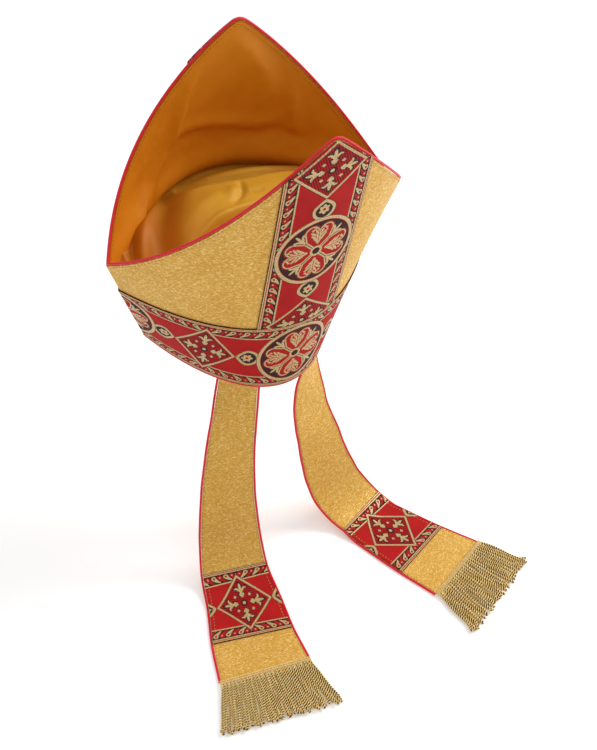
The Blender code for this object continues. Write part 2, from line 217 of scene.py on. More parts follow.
# Along the crown satin, from its middle (0) to its corner (1): the share of the lift that is left
CROWN_FOLDS_ALONG = (
    Fold(0.00, 1.00),
    Fold(0.40, 0.95),
    Fold(0.62, 0.50),
    Fold(0.82, -0.25),
    Fold(1.00, 0.00),
)

# Ridges and valleys of the loose satin, in millimetres: the route, how far it lifts the cloth, and its
# widths on the left and right of the route. The crown's are in plan, and a lining's are by distance
# from its middle and height, lifted inwards
Crease = namedtuple("Crease", "route lift left right")
CROWN_CREASES = (
    Crease(((44, -66), (16, -55), (-8, -48), (-30, -46), (-60, -40), (-95, -22)), -14.0, 6.0, 12.0),
    Crease(((60, -46), (26, -42), (-3, -35), (-21, -34), (-56, -26), (-80, -14)), 4.0, 7.0, 5.0),
    Crease(((0, -34), (2, -26), (5, -20), (13, -14), (22, -11)), -3.6, 2.4, 3.0),
    Crease(((12, -21), (4, -20), (-4, -17), (-14, -16)), -2.0, 2.2, 2.6),
    Crease(((10, -30), (14, -24), (20, -20)), 1.6, 3.5, 3.5),
    Crease(((62, -66), (72, -52), (88, -36), (102, -16), (112, 10)), 5.0, 4.5, 5.5),
    Crease(((52, -54), (70, -34), (84, -10), (96, 24)), -12.5, 9.5, 8.5),
    Crease(((106, -44), (108, -24), (114, -4), (118, 10)), -3.5, 4.0, 3.0),
    Crease(((126, -22), (121, -12), (119, 2)), 2.5, 3.0, 2.5),
    Crease(((66, 12), (44, 0), (22, -4), (-6, -4)), 3.2, 3.0, 5.5),
    Crease(((82, 34), (56, 14), (26, 8), (-14, 8), (-44, 20)), -11.0, 6.5, 12.0),
    Crease(((60, -18), (40, -22), (24, -28)), 1.4, 6.0, 6.0),
)
LINING_CREASES = (
    Crease(((30, 232), (42, 200), (48, 168), (60, 146), (80, 128), (100, 116)), 4.4, 8.0, 5.0),
    Crease(((48, 214), (64, 196), (76, 174), (86, 156)), -2.4, 6.0, 6.0),
    Crease(((62, 150), (30, 152), (-8, 142), (-40, 134), (-60, 138), (-92, 132)), -4.4, 5.0, 4.0),
    Crease(((52, 166), (8, 160), (-36, 149), (-64, 155)), 3.6, 8.0, 6.0),
    Crease(((88, 134), (104, 120), (122, 110)), 4.0, 4.0, 4.0),
    Crease(((-4, 262), (-20, 232), (-40, 196), (-52, 176)), 2.4, 12.0, 9.0),
    Crease(((-66, 186), (-74, 156), (-84, 124)), 2.8, 7.0, 6.0),
)

# A lappet's route: down as a share of its fall, back of its lay and out of its swing, all from the root;
# turn is the angle of its width to +X, in degrees, and bow is how far its edges curve in, by half width
Station = namedtuple("Station", "down back out turn bow")
LEFT_ROUTE = (
    Station(0.068, 0.000, 0.00, -37, 0.11),
    Station(0.140, -0.040, 0.00, -40, 0.11),
    Station(0.280, -0.030, 0.09, -24, 0.05),
    Station(0.425, -0.015, 0.20, -20, 0.02),
    Station(0.590, 0.010, 0.30, -18, 0.02),
    Station(0.730, 0.040, 0.36, -17, 0.01),
    Station(0.875, 0.100, 0.42, -17, 0.00),
    Station(0.968, 0.210, 0.50, -16, 0.00),
    Station(1.000, 0.420, 0.62, -16, 0.00),
    Station(1.000, 0.765, 0.87, -16, 0.00),
    Station(1.000, 1.000, 1.00, -15, 0.00),
)
RIGHT_ROUTE = (
    Station(0.068, 0.000, 0.00, 37, 0.11),
    Station(0.140, -0.040, 0.00, 40, 0.11),
    Station(0.290, -0.030, -0.06, 20, 0.06),
    Station(0.434, -0.025, -0.02, 14, 0.03),
    Station(0.590, -0.005, 0.08, 7, 0.02),
    Station(0.763, 0.010, 0.21, 5, 0.01),
    Station(0.892, 0.060, 0.36, 8, 0.00),
    Station(0.964, 0.160, 0.50, 14, 0.00),
    Station(1.000, 0.330, 0.60, 18, 0.00),
    Station(1.000, 0.710, 0.81, 20, 0.00),
    Station(1.000, 1.000, 1.00, 20, 0.00),
)
Lappet = namedtuple("Lappet", "name side swing route sway seed")
LAPPETS = (
    Lappet("left", 1, LAPPET_LEFT_SWING, LEFT_ROUTE, 0.00, 11),
    Lappet("right", -1, LAPPET_RIGHT_SWING, RIGHT_ROUTE, 0.12, 23),
)


# Finishes


def linear(red, green, blue):
    """A colour given as it shows on a screen, 0 to 255, as the linear one that a shader takes."""
    shares = [value / 255 for value in (red, green, blue)]
    return (*[s / 12.92 if s <= 0.04045 else ((s + 0.055) / 1.055) ** 2.4 for s in shares], 1)


class Finish:
    """One material's nodes. Each call adds a node and gives back its output."""

    def __init__(self, name):
        self.material = bpy.data.materials.new(name)
        self.material.use_nodes = True
        self.tree = self.material.node_tree
        self.shader = self.tree.nodes["Principled BSDF"]

    def feed(self, socket, value):
        if isinstance(value, bpy.types.NodeSocket):
            self.tree.links.new(value, socket)
        else:
            socket.default_value = value

    def add(self, kind, *values, **settings):
        node = self.tree.nodes.new(kind)
        for key, value in settings.items():
            setattr(node, key, value)
        for socket, value in zip(node.inputs, values):
            if value is not None:
                self.feed(socket, value)
        return node

    def math(self, operation, *values):
        return self.add("ShaderNodeMath", *values, operation=operation).outputs[0]

    def plus(self, a, b):
        return self.math("ADD", a, b)

    def minus(self, a, b):
        return self.math("SUBTRACT", a, b)

    def times(self, a, b):
        return self.math("MULTIPLY", a, b)

    def below(self, a, b):
        return self.math("LESS_THAN", a, b)

    def stripe(self, value, low, high):
        """1 where the value lies between low and high."""
        return self.math("COMPARE", value, (low + high) / 2, (high - low) / 2)

    def both(self, a, b):
        return self.math("MINIMUM", a, b)

    def either(self, a, b):
        return self.math("MAXIMUM", a, b)

    def point(self, x, y):
        return self.add("ShaderNodeCombineXYZ", x, y).outputs[0]

    def length(self, vector):
        return self.add("ShaderNodeVectorMath", vector, operation="LENGTH").outputs["Value"]

    def within(self, point, centre, half, turn=0.0):
        """How far out a point lies in an ellipse: 1 on its edge."""
        local = self.add(
            "ShaderNodeMapping", point, (*centre, 0), (0, 0, turn), (*half, 1), vector_type="TEXTURE"
        )
        return self.length(local.outputs[0])

    def leaf(self, point, lobes):
        """How far out a point lies in the nearest of a leaf's lobes."""
        found = None
        for lobe in lobes:
            half = lobe.half_length, lobe.half_width
            share = self.within(point, (lobe.x, lobe.y), half, math.radians(lobe.turn))
            found = share if found is None else self.both(found, share)
        return found

    def paint(self, under, mask, over):
        """The value over where the mask is 1, and the value under elsewhere."""
        node = self.add("ShaderNodeMix", data_type="FLOAT")
        for label, value in (("Factor", mask), ("A", under), ("B", over)):
            self.feed(node.inputs[label], value)
        return node.outputs["Result"]

    def blend(self, factor, first, second):
        node = self.add("ShaderNodeMix", data_type="RGBA")
        self.feed(node.inputs["Factor"], factor)
        for socket, value in zip([s for s in node.inputs if s.type == "RGBA"], (first, second)):
            self.feed(socket, value)
        return [s for s in node.outputs if s.type == "RGBA"][0]

    def cloth(self):
        """Millimetres along and across the cloth, from its UV map."""
        places = self.add("ShaderNodeUVMap", uv_map="cloth").outputs[0]
        split = self.add("ShaderNodeSeparateXYZ", places)
        return self.times(split.outputs[0], 1000), self.times(split.outputs[1], 1000)

    def noise(self, point, scale, detail=2.0, roughness=0.5):
        node = self.add("ShaderNodeTexNoise", noise_dimensions="3D")
        values = (("Vector", point), ("Scale", scale), ("Detail", detail), ("Roughness", roughness))
        for label, value in values:
            self.feed(node.inputs[label], value)
        return node.outputs[0]

    def ramp(self, value, low, high, start=0.0, end=1.0):
        node = self.add("ShaderNodeMapRange", value, low, high, start, end)
        return node.outputs[0]

    def wave(self, value, pitch):
        """0 to 1 and back over each pitch."""
        turns = self.times(value, 2 * math.pi / pitch)
        return self.math("MULTIPLY_ADD", self.math("SINE", turns), 0.5, 0.5)

    def relief(self, height, depth, strength=1.0):
        node = self.add("ShaderNodeBump")
        for label, value in (("Strength", strength), ("Distance", depth), ("Height", height)):
            self.feed(node.inputs[label], value)
        self.feed(self.shader.inputs["Normal"], node.outputs[0])

    def set(self, **values):
        """Sets the shader's sockets by name, with _ for a space."""
        for label, value in values.items():
            self.feed(self.shader.inputs[label.replace("_", " ")], value)
        return self.material


# The braid's yarns, in the order that the pattern counts them
RED, GOLD, DARK, TWILL = 0, 1, 2, 3

# From the braid's edge inwards, in millimetres
Line = namedtuple("Line", "start end yarn")
BORDER_LINES = (
    Line(-1.0, 0.4, TWILL),
    Line(0.4, 1.4, GOLD),
    Line(2.1, 3.3, GOLD),
    Line(3.3, 12.5, DARK),
    Line(12.5, 13.9, GOLD),
)

# Lobes of the leaves, in millimetres, each in one half of its motif; turn is in degrees
Lobe = namedtuple("Lobe", "x y half_length half_width turn")
PETAL_LEAF = (
    Lobe(10.6, 0.8, 3.0, 0.95, 12),
    Lobe(12.6, 2.6, 2.9, 0.95, 42),
    Lobe(15.3, 4.1, 3.9, 1.05, 48),
    Lobe(18.8, 4.6, 3.9, 1.1, 54),
    Lobe(20.8, 2.0, 3.2, 1.05, 32),
    Lobe(15.6, 0.9, 5.8, 0.8, 2),
    Lobe(24.8, 4.3, 2.0, 0.95, -52),
    Lobe(23.0, 6.4, 1.2, 0.9, 20),
)
SPRIG_LEAF = (
    Lobe(25.2, 0.0, 4.2, 1.15, 0),
    Lobe(21.8, 1.9, 3.2, 1.1, 28),
    Lobe(24.0, 4.0, 2.2, 1.05, 56),
    Lobe(19.0, 0.0, 3.0, 1.3, 0),
)
FLEUR_LEAF = (
    Lobe(15.2, 0.0, 4.2, 1.35, 0),
    Lobe(13.2, 2.0, 3.4, 1.1, 44),
    Lobe(14.6, 4.4, 1.7, 0.85, 88),
    Lobe(9.6, 0.0, 3.6, 1.3, 0),
    Lobe(7.8, 1.0, 2.4, 0.95, 34),
)


def fold_corner(cloth, x, y):
    """The point turned and mirrored into the sector that a motif of four arms repeats."""
    return cloth.either(x, y), cloth.both(x, y)


def round_cone(cloth, x, y, start, end, radii):
    """Distance to a shape that joins two circles, as a petal's outline does."""
    axis = Vector(end) - Vector(start)
    length = axis.length
    angle = math.atan2(axis.y, axis.x)
    local = cloth.add(
        "ShaderNodeMapping", cloth.point(x, y), (*start, 0), (0, 0, angle), vector_type="TEXTURE"
    )
    split = cloth.add("ShaderNodeSeparateXYZ", local.outputs[0])
    ahead, aside = split.outputs[0], cloth.math("ABSOLUTE", split.outputs[1])
    slope = (radii[1] - radii[0]) / length
    straight = math.sqrt(1 - slope**2)
    along = cloth.plus(cloth.times(ahead, straight), cloth.times(aside, slope))
    near = cloth.math("MAXIMUM", cloth.both(along, length * straight), 0)
    centre = cloth.math("DIVIDE", near, straight)
    gap = cloth.length(cloth.point(cloth.minus(ahead, centre), aside))
    radius = cloth.math("MULTIPLY_ADD", centre, slope, radii[0])
    return cloth.minus(gap, radius)


def paint_border(cloth, yarn, along, edge):
    for line in BORDER_LINES:
        yarn = cloth.paint(yarn, cloth.stripe(edge, line.start, line.end), line.yarn)
    from_diamond = cloth.minus(REPEAT / 2 - COMMA_START + COMMA_PITCH / 2, along)
    depth = cloth.math("MAXIMUM", cloth.minus(edge, COMMA_HEAD), 0)
    lean = cloth.times(cloth.math("POWER", cloth.math("DIVIDE", depth, COMMA_TAIL_HALF), 1.4), COMMA_LEAN)
    place = cloth.plus(from_diamond, lean)
    cell = cloth.math("FLOOR", cloth.math("DIVIDE", place, COMMA_PITCH))
    aside = cloth.minus(place, cloth.times(cloth.plus(cell, 0.5), COMMA_PITCH))
    from_head = cloth.minus(edge, COMMA_HEAD)
    head = cloth.within(cloth.point(aside, from_head), (0, 0), (COMMA_HALF_WIDTH, COMMA_HEAD_HALF))
    tail = cloth.within(cloth.point(aside, from_head), (0, 0), (COMMA_HALF_WIDTH, COMMA_TAIL_HALF))
    share = cloth.paint(head, cloth.math("GREATER_THAN", from_head, 0), tail)
    odd = cloth.math("PINGPONG", cell, 1)
    inside = cloth.both(cloth.below(share, 0.96), cloth.stripe(edge, 3.8, 12.1))
    yarn = cloth.paint(yarn, inside, odd)
    dot_radius = cloth.paint(COMMA_DOTS[0], odd, COMMA_DOTS[1])
    dot = cloth.below(cloth.length(cloth.point(aside, from_head)), dot_radius)
    return cloth.paint(yarn, cloth.both(dot, inside), cloth.minus(1, odd))


def paint_link(cloth, yarn, along, across):
    x = cloth.minus(along, LINK_PLACE)
    radius = cloth.length(cloth.point(x, across))
    cut = cloth.plus(cloth.times(x, math.cos(LINK_SLOPE)), cloth.times(across, math.sin(LINK_SLOPE)))
    round_side, slanted_side = cloth.minus(radius, LINK_RADIUS), cloth.minus(cut, LINK_CUT)
    distance = cloth.math("SMOOTH_MAX", round_side, slanted_side, LINK_SOFTNESS)
    yarn = cloth.paint(yarn, cloth.below(distance, 0.5), DARK)
    yarn = cloth.paint(yarn, cloth.below(distance, 0), GOLD)
    yarn = cloth.paint(yarn, cloth.below(distance, -LINK_LINE), DARK)
    angle = cloth.math("ARCTAN2", across, x)
    petals = cloth.math("COSINE", cloth.times(angle, 6))
    flower = cloth.math("MULTIPLY_ADD", petals, FLOWER_WAVE, FLOWER_RADIUS)
    yarn = cloth.paint(yarn, cloth.below(radius, flower), GOLD)
    return cloth.paint(yarn, cloth.below(radius, FLOWER_EYE), RED)


def paint_diamond(cloth, yarn, along, across, twill):
    half_x, half_y = DIAMOND_HALF
    x = cloth.minus(REPEAT / 2, along)
    slant = math.hypot(half_x, half_y)
    distance = cloth.minus(
        cloth.plus(cloth.times(x, half_y / slant), cloth.times(across, half_x / slant)),
        half_x * half_y / slant,
    )
    yarn = cloth.paint(yarn, cloth.below(distance, 0.5), DARK)
    yarn = cloth.paint(yarn, cloth.below(distance, 0), GOLD)
    inside = cloth.below(distance, -DIAMOND_LINE)
    yarn = cloth.paint(yarn, inside, cloth.times(twill, TWILL))
    fit = half_x / half_y
    far, near = fold_corner(cloth, x, cloth.times(across, fit))
    place = cloth.point(far, near)
    fleur = cloth.leaf(place, FLEUR_LEAF)
    shade = cloth.leaf(cloth.point(cloth.minus(far, 0.7), cloth.minus(near, 0.5)), FLEUR_LEAF)
    yarn = cloth.paint(yarn, cloth.both(cloth.below(cloth.both(fleur, shade), 1.3), inside), DARK)
    yarn = cloth.paint(yarn, cloth.below(fleur, 1), GOLD)
    from_dot = [cloth.math("ABSOLUTE", cloth.minus(part, DIAMOND_DOT_PLACE)) for part in (far, near)]
    yarn = cloth.paint(yarn, cloth.below(cloth.plus(*from_dot), DIAMOND_DOT_RADIUS), GOLD)
    middle = cloth.length(place)
    yarn = cloth.paint(yarn, cloth.below(middle, 3.4), DARK)
    return cloth.paint(yarn, cloth.below(middle, 1.6), GOLD)


def paint_medallion(cloth, yarn, along, across):
    half_x, half_y = MEDALLION_HALF
    x, y = along, cloth.times(across, half_x / half_y)
    radius = cloth.length(cloth.point(x, y))
    yarn = cloth.paint(yarn, cloth.below(radius, half_x + 0.5), DARK)
    yarn = cloth.paint(yarn, cloth.below(radius, half_x), GOLD)
    yarn = cloth.paint(yarn, cloth.below(radius, half_x - RING_WIDTH), RED)
    yarn = cloth.paint(yarn, cloth.below(radius, half_x - RING_WIDTH - 0.5), DARK)
    far, near = fold_corner(cloth, x, y)
    to_next_petal = cloth.times(cloth.minus(near, far), math.sqrt(0.5))
    petal = cloth.either(
        round_cone(cloth, far, near, PETAL_INNER, PETAL_OUTER, PETAL_RADII),
        cloth.plus(to_next_petal, PETAL_SPACING),
    )
    yarn = cloth.paint(yarn, cloth.stripe(petal, 0.5, 1.0), RED)
    yarn = cloth.paint(yarn, cloth.below(petal, 0), GOLD)
    yarn = cloth.paint(yarn, cloth.below(petal, -OUTLINE_WIDTH), RED)
    place = cloth.point(far, near)
    leaf = cloth.leaf(place, PETAL_LEAF)
    yarn = cloth.paint(yarn, cloth.below(leaf, 1), GOLD)
    vein = cloth.both(cloth.below(near, 0.35), cloth.stripe(far, 10.5, 20.5))
    yarn = cloth.paint(yarn, vein, RED)
    turned = cloth.add("ShaderNodeVectorRotate", place, (0, 0, 0), (0, 0, 1), math.radians(-45)).outputs[0]
    split = cloth.add("ShaderNodeSeparateXYZ", turned)
    sprig = cloth.leaf(cloth.point(split.outputs[0], cloth.math("ABSOLUTE", split.outputs[1])), SPRIG_LEAF)
    yarn = cloth.paint(yarn, cloth.below(sprig, 1), GOLD)
    yarn = cloth.paint(yarn, cloth.below(radius, EYE_RADII[0]), GOLD)
    return cloth.paint(yarn, cloth.below(radius, EYE_RADII[1]), DARK)


def braid_finish():
    """Jacquard braid: pale gold, plum and red yarns in a repeat of medallions, links and diamonds."""
    cloth = Finish("woven_braid")
    u, v = cloth.cloth()
    along = cloth.math("PINGPONG", u, REPEAT / 2)
    across = cloth.math("ABSOLUTE", v)
    edge = cloth.minus(BRAID_WIDTH * 500, across)
    slant = cloth.plus(cloth.times(u, math.sin(TWILL_SLOPE)), cloth.times(v, -math.cos(TWILL_SLOPE)))
    twill = cloth.below(cloth.wave(slant, TWILL_PITCH), 0.35)
    yarn = paint_border(cloth, RED, along, edge)
    yarn = paint_link(cloth, yarn, along, across)
    yarn = paint_diamond(cloth, yarn, along, across, twill)
    yarn = paint_medallion(cloth, yarn, along, across)
    gold, dark, shade = (cloth.math("COMPARE", yarn, kind, 0.1) for kind in (GOLD, DARK, TWILL))

    place = cloth.point(u, v)
    soft = cloth.noise(place, 0.05, 3)
    thread = cloth.noise(cloth.add("ShaderNodeMapping", place, None, None, (0.8, 2.2, 1)).outputs[0], 1.1, 1)
    rib = cloth.wave(cloth.plus(u, cloth.times(v, 0.6)), 1.1)
    reds = cloth.blend(cloth.ramp(soft, 0.3, 0.7), linear(172, 18, 20), linear(190, 25, 25))
    reds = cloth.blend(cloth.ramp(thread, 0.3, 0.7, 0, 0.25), reds, linear(126, 8, 12))
    golds = cloth.blend(cloth.ramp(thread, 0.36, 0.64), linear(152, 122, 74), linear(238, 217, 163))
    golds = cloth.blend(cloth.times(rib, 0.3), golds, linear(140, 104, 56))
    darks = cloth.blend(cloth.ramp(thread, 0.3, 0.7), linear(42, 16, 20), linear(72, 34, 38))
    colour = cloth.blend(gold, reds, golds)
    colour = cloth.blend(dark, colour, darks)
    colour = cloth.blend(shade, colour, linear(84, 8, 14))
    height = cloth.plus(cloth.times(thread, 0.6), cloth.times(rib, 0.5))
    cloth.relief(cloth.plus(height, cloth.times(gold, 0.5)), 0.00025, 0.5)
    return cloth.set(
        Base_Color=colour,
        Roughness=cloth.paint(0.75, gold, 0.42),
        Metallic=cloth.times(gold, 0.3),
        Specular_IOR_Level=0.18,
    )


def brocade_finish():
    """Gold lurex cloth: short floats of flat thread along the weft, each with its own tone; the brightest are
    painted pale as glints.
    """
    cloth = Finish("gold_brocade")
    u, v = cloth.cloth()
    place = cloth.point(u, v)
    floats = cloth.add("ShaderNodeTexVoronoi", voronoi_dimensions="2D")
    lengthened = cloth.add("ShaderNodeMapping", place, None, None, (0.8, 2.3, 1)).outputs[0]
    cloth.feed(floats.inputs["Vector"], lengthened)
    cloth.feed(floats.inputs["Scale"], 1.0)
    fleck = cloth.add("ShaderNodeSeparateColor", floats.outputs["Color"]).outputs[0]
    patches = cloth.noise(place, 0.035, 2)
    drift = cloth.noise(place, 0.22, 2)
    # Painted glints: the brightest floats are painted pale gold, with less roughness, standing in for the
    # glint of the flat metal thread.
    painted_glint = cloth.ramp(cloth.plus(fleck, cloth.ramp(drift, 0.3, 0.7, -0.12, 0.12)), 0.66, 1.0)
    dull = cloth.ramp(fleck, 0.4, 0.05)
    ground = cloth.blend(cloth.ramp(patches, 0.3, 0.7), linear(209, 158, 64), linear(217, 168, 74))
    colour = cloth.blend(cloth.times(dull, 0.4), ground, linear(180, 122, 40))
    colour = cloth.blend(cloth.times(painted_glint, 0.75), colour, linear(255, 228, 156))
    cloth.relief(fleck, 0.00006, 0.4)
    return cloth.set(
        Base_Color=colour,
        Roughness=cloth.ramp(painted_glint, 0, 1, 0.6, 0.4),
        Metallic=0.1,
        Specular_IOR_Level=0.4,
        Specular_Tint=linear(255, 230, 164),
    )


def satin_finish(name, deep, pale, sides):
    """Gold satin: orange dye under a smooth sheen with faint runs of thread, and painted shade towards its
    sides.
    """
    cloth = Finish(name)
    u, v = cloth.cloth()
    place = cloth.point(u, v)
    patches = cloth.noise(place, 0.03, 2)
    thread = cloth.noise(cloth.add("ShaderNodeMapping", place, None, None, (3.0, 0.4, 1)).outputs[0], 1.5, 2)
    crumple = cloth.noise(place, 0.045, 3, 0.45)
    colour = cloth.blend(cloth.ramp(patches, 0.3, 0.7), deep, pale)
    colour = cloth.blend(cloth.times(thread, 0.15), colour, linear(186, 104, 12))
    # Painted shade: towards the sides the colour deepens to a dark orange, standing in for the shade between
    # the satin's folds.
    from_middle = cloth.math("ABSOLUTE", u)
    colour = cloth.blend(cloth.ramp(from_middle, *SATIN_SIDE_SHADE_SPAN, 0, sides), colour, linear(176, 90, 6))
    cloth.relief(cloth.plus(cloth.times(crumple, 8), thread), 0.00022, 0.8)
    return cloth.set(
        Base_Color=colour, Roughness=0.42, Specular_IOR_Level=0.4, Specular_Tint=linear(255, 226, 160)
    )


def piping_finish():
    """Crimson bias cloth over a cord: its weave runs across the cord at a slant."""
    cloth = Finish("crimson_piping")
    u, v = cloth.cloth()
    weave = cloth.wave(cloth.plus(u, v), 0.55)
    fuzz = cloth.noise(cloth.point(u, v), 0.8, 3)
    colour = cloth.blend(cloth.ramp(fuzz, 0.3, 0.7), linear(212, 10, 38), linear(230, 24, 52))
    cloth.relief(cloth.plus(weave, fuzz), 0.0001, 0.4)
    return cloth.set(
        Base_Color=colour, Roughness=0.5, Specular_IOR_Level=0.4, Sheen_Weight=0.12, Sheen_Roughness=0.4
    )


def bullion_finish(name, groove_shade):
    """Gold twisted cord: metal thread, with painted shade that turns it brown in the grooves between its
    plies.
    """
    cloth = Finish(name)
    place = cloth.add("ShaderNodeTexCoord").outputs["Object"]
    thread = cloth.noise(place, 900, 1)
    crown = cloth.add("ShaderNodeAttribute", attribute_name="crown").outputs["Fac"]
    colour = cloth.blend(cloth.ramp(thread, 0.36, 0.64), linear(240, 190, 100), linear(255, 242, 182))
    # Painted shade: brown near the cord's axis, in the grooves between its plies, fading out over the crowns
    # of the plies.
    colour = cloth.blend(cloth.ramp(crown, groove_shade, groove_shade + 0.26, 1, 0), colour, linear(88, 44, 10))
    cloth.relief(thread, 0.0003, 0.5)
    return cloth.set(
        Base_Color=colour, Roughness=0.4, Specular_IOR_Level=0.12, Specular_Tint=linear(255, 224, 140)
    )


def thread_finish(name, colour):
    cloth = Finish(name)
    place = cloth.add("ShaderNodeTexCoord").outputs["Object"]
    shade = cloth.noise(place, 700, 1)
    darker = tuple(channel * 0.6 for channel in colour[:3]) + (1,)
    return cloth.set(Base_Color=cloth.blend(shade, darker, colour), Roughness=0.5, Sheen_Weight=0.2)


def floor_finish():
    cloth = Finish("pale_floor")
    place = cloth.add("ShaderNodeTexCoord").outputs["Object"]
    shade = cloth.noise(place, 3.0, 2)
    colour = cloth.blend(shade, linear(249, 249, 249), linear(253, 253, 253))
    return cloth.set(
        Base_Color=colour, Roughness=0.7,
        Emission_Color=linear(255, 255, 255), Emission_Strength=FLOOR_GLOW,
    )


# Shapes


def unit(vectors):
    return vectors / np.linalg.norm(vectors, axis=-1, keepdims=True)


def smooth_curve(knots, values, at):
    """Values read between the knots on a smooth curve through them, in as many columns as values has."""
    knots, values, at = np.asarray(knots), np.asarray(values, float), np.atleast_1d(at)
    slopes = np.gradient(values, knots, axis=0)
    i = np.clip(np.searchsorted(knots, at) - 1, 0, len(knots) - 2)
    span = knots[i + 1] - knots[i]
    u = (at - knots[i]) / span
    if values.ndim == 2:
        span, u = span[..., None], u[..., None]
    start = (1 + 2 * u) * (1 - u) ** 2 * values[i] + u * (1 - u) ** 2 * span * slopes[i]
    end = u**2 * (3 - 2 * u) * values[i + 1] - u**2 * (1 - u) * span * slopes[i + 1]
    return start + end


def soft_step(value, low, high):
    """0 up to low and 1 from high, with a smooth rise between."""
    share = np.clip((value - low) / (high - low), 0, 1)
    return share * share * (3 - 2 * share)


def creased(x, y, creases):
    """How far the ridges and valleys lift a cloth at these places, all in millimetres."""
    lift = np.zeros(np.shape(x))
    for crease in creases:
        knots = np.arange(len(crease.route))
        line = smooth_curve(knots, crease.route, np.linspace(0, knots[-1], CREASE_STEPS))
        ahead = unit(np.gradient(line, axis=0))
        offset_x, offset_y = x[..., None] - line[:, 0], y[..., None] - line[:, 1]
        distance = np.hypot(offset_x, offset_y)
        nearest = distance.argmin(-1)[..., None]
        side = np.take_along_axis(ahead[:, 0] * offset_y - ahead[:, 1] * offset_x, nearest, -1)
        width = np.where(side > 0, crease.left, crease.right)
        near = np.take_along_axis(distance, nearest, -1)
        fade = np.sqrt(np.sin(math.pi * nearest / (CREASE_STEPS - 1)))
        lift += (crease.lift * fade * np.exp(-((near / width) ** 2)))[..., 0]
    return lift


def lean_back(points):
    """From the crown's upright frame to the part's."""
    x, y, z = np.moveaxis(np.asarray(points), -1, 0)
    sine, cosine = math.sin(CROWN_LEAN), math.cos(CROWN_LEAN)
    return np.stack([x, y * cosine + z * sine, z * cosine - y * sine], -1)


def section(t, half_width, depth, sweep):
    """A half section from side seam (t = -1) to side seam (t = 1)."""
    x = half_width * np.sin(sweep * t) / math.sin(sweep)
    y = depth * (np.cos(sweep * t) - math.cos(sweep)) / (1 - math.cos(sweep))
    return np.stack([x, y], -1)


def skin(horn, t, height):
    """The outer face of a panel: straight lines from the opening through the corner level into the horn."""
    t, height = np.broadcast_arrays(np.asarray(t, float), np.asarray(height, float))
    foot = section(t, OPENING_HALF_WIDTH, horn.opening_depth, OPENING_SWEEP)
    knee = section(t, CORNER_HALF_WIDTH, horn.corner_depth, CORNER_SWEEP)
    flat = foot + (knee - foot) * height[..., None] / CORNER_HEIGHT
    return np.concatenate([flat * (1, horn.side), height[..., None]], -1)


def skin_axes(horn, t, height):
    """Unit vectors on the skin: along the section towards +X, and outwards."""
    along = skin(horn, t + SLOPE_STEP, height) - skin(horn, t - SLOPE_STEP, height)
    up = skin(horn, t, height + SLOPE_STEP) - skin(horn, t, height - SLOPE_STEP)
    return unit(along), horn.side * unit(np.cross(up, along))


def wall_points(horn, t, height, proud):
    """Points this far outside the skin, or inside it if negative, with a mitred joint at the side seam."""
    t, height, proud = np.broadcast_arrays(t, height, proud)
    along, out = skin_axes(horn, t, height)
    points = skin(horn, t, height) + out * proud[..., None]
    slide = (horn.side * GAP / 2 - points[..., 1]) / along[..., 1]
    at_seam = np.abs(t) > 1 - 1e-9
    return points + along * np.where(at_seam, slide, 0)[..., None]


def horn_edge(horn, t):
    """Height of the horn's edge over the section."""
    share = np.sqrt(t**2 + (HORN_TIP_ROUNDING * (1 - t**2)) ** 2)
    return CORNER_HEIGHT + (horn.height - CORNER_HEIGHT) * (1 - np.minimum(share, 1)) ** horn.edge_bow


def arc_along(horn, t, height):
    """Distance along the cloth from the middle of the section, at this height."""
    t, height = np.broadcast_arrays(t, height)
    steps = np.linspace(0, 1, ARC_STEPS + 1)
    points = skin(horn, t[..., None] * steps, height[..., None])
    return np.sign(t) * np.linalg.norm(np.diff(points, axis=-2), axis=-1).sum(-1)


def arc_place(horn, distance, height):
    """The t at this distance along the cloth from the middle of the section."""
    t = distance / CORNER_HALF_WIDTH
    for _ in range(6):
        ahead, behind = (arc_along(horn, t + step, height) for step in (SLOPE_STEP, -SLOPE_STEP))
        rate = (ahead - behind) / (2 * SLOPE_STEP)
        t = t - (arc_along(horn, t, height) - distance) / rate
    return t


def grid_faces(rows, columns, start, flip):
    """Quads of a grid of points numbered from start."""
    first = start + np.arange(rows - 1)[:, None] * columns + np.arange(columns - 1)[None]
    quads = np.stack([first, first + 1, first + columns + 1, first + columns], -1).reshape(-1, 4)
    return quads[:, ::-1] if flip else quads


def border_of(rows, columns):
    """Numbers of a grid's outline points, in order."""
    numbers = np.arange(rows * columns).reshape(rows, columns)
    return np.concatenate([numbers[0, :-1], numbers[:-1, -1], numbers[-1, :0:-1], numbers[:0:-1, 0]])


def plain_mesh(name, points, faces, places, finishes, slots, sharp_angle=math.radians(60)):
    """A smooth mesh with a UV map in metres, turned so that its faces point out."""
    points = np.asarray(points, float)
    corners = points[faces[:, :3]]
    if np.einsum("ij,ij->i", corners[:, 0], np.cross(corners[:, 1], corners[:, 2])).sum() < 0:
        faces = faces[:, ::-1]
    data = bpy.data.meshes.new(name)
    data.from_pydata(points.tolist(), [], faces.tolist())
    layer = data.uv_layers.new(name="cloth")
    layer.data.foreach_set("uv", np.asarray(places, float)[faces.ravel()].ravel())
    for finish in finishes:
        data.materials.append(finish)
    data.polygons.foreach_set("material_index", slots)
    data.shade_smooth()
    data.set_sharp_from_angle(angle=sharp_angle)
    data.validate()
    thing = bpy.data.objects.new(name, data)
    bpy.context.scene.collection.objects.link(thing)
    return thing


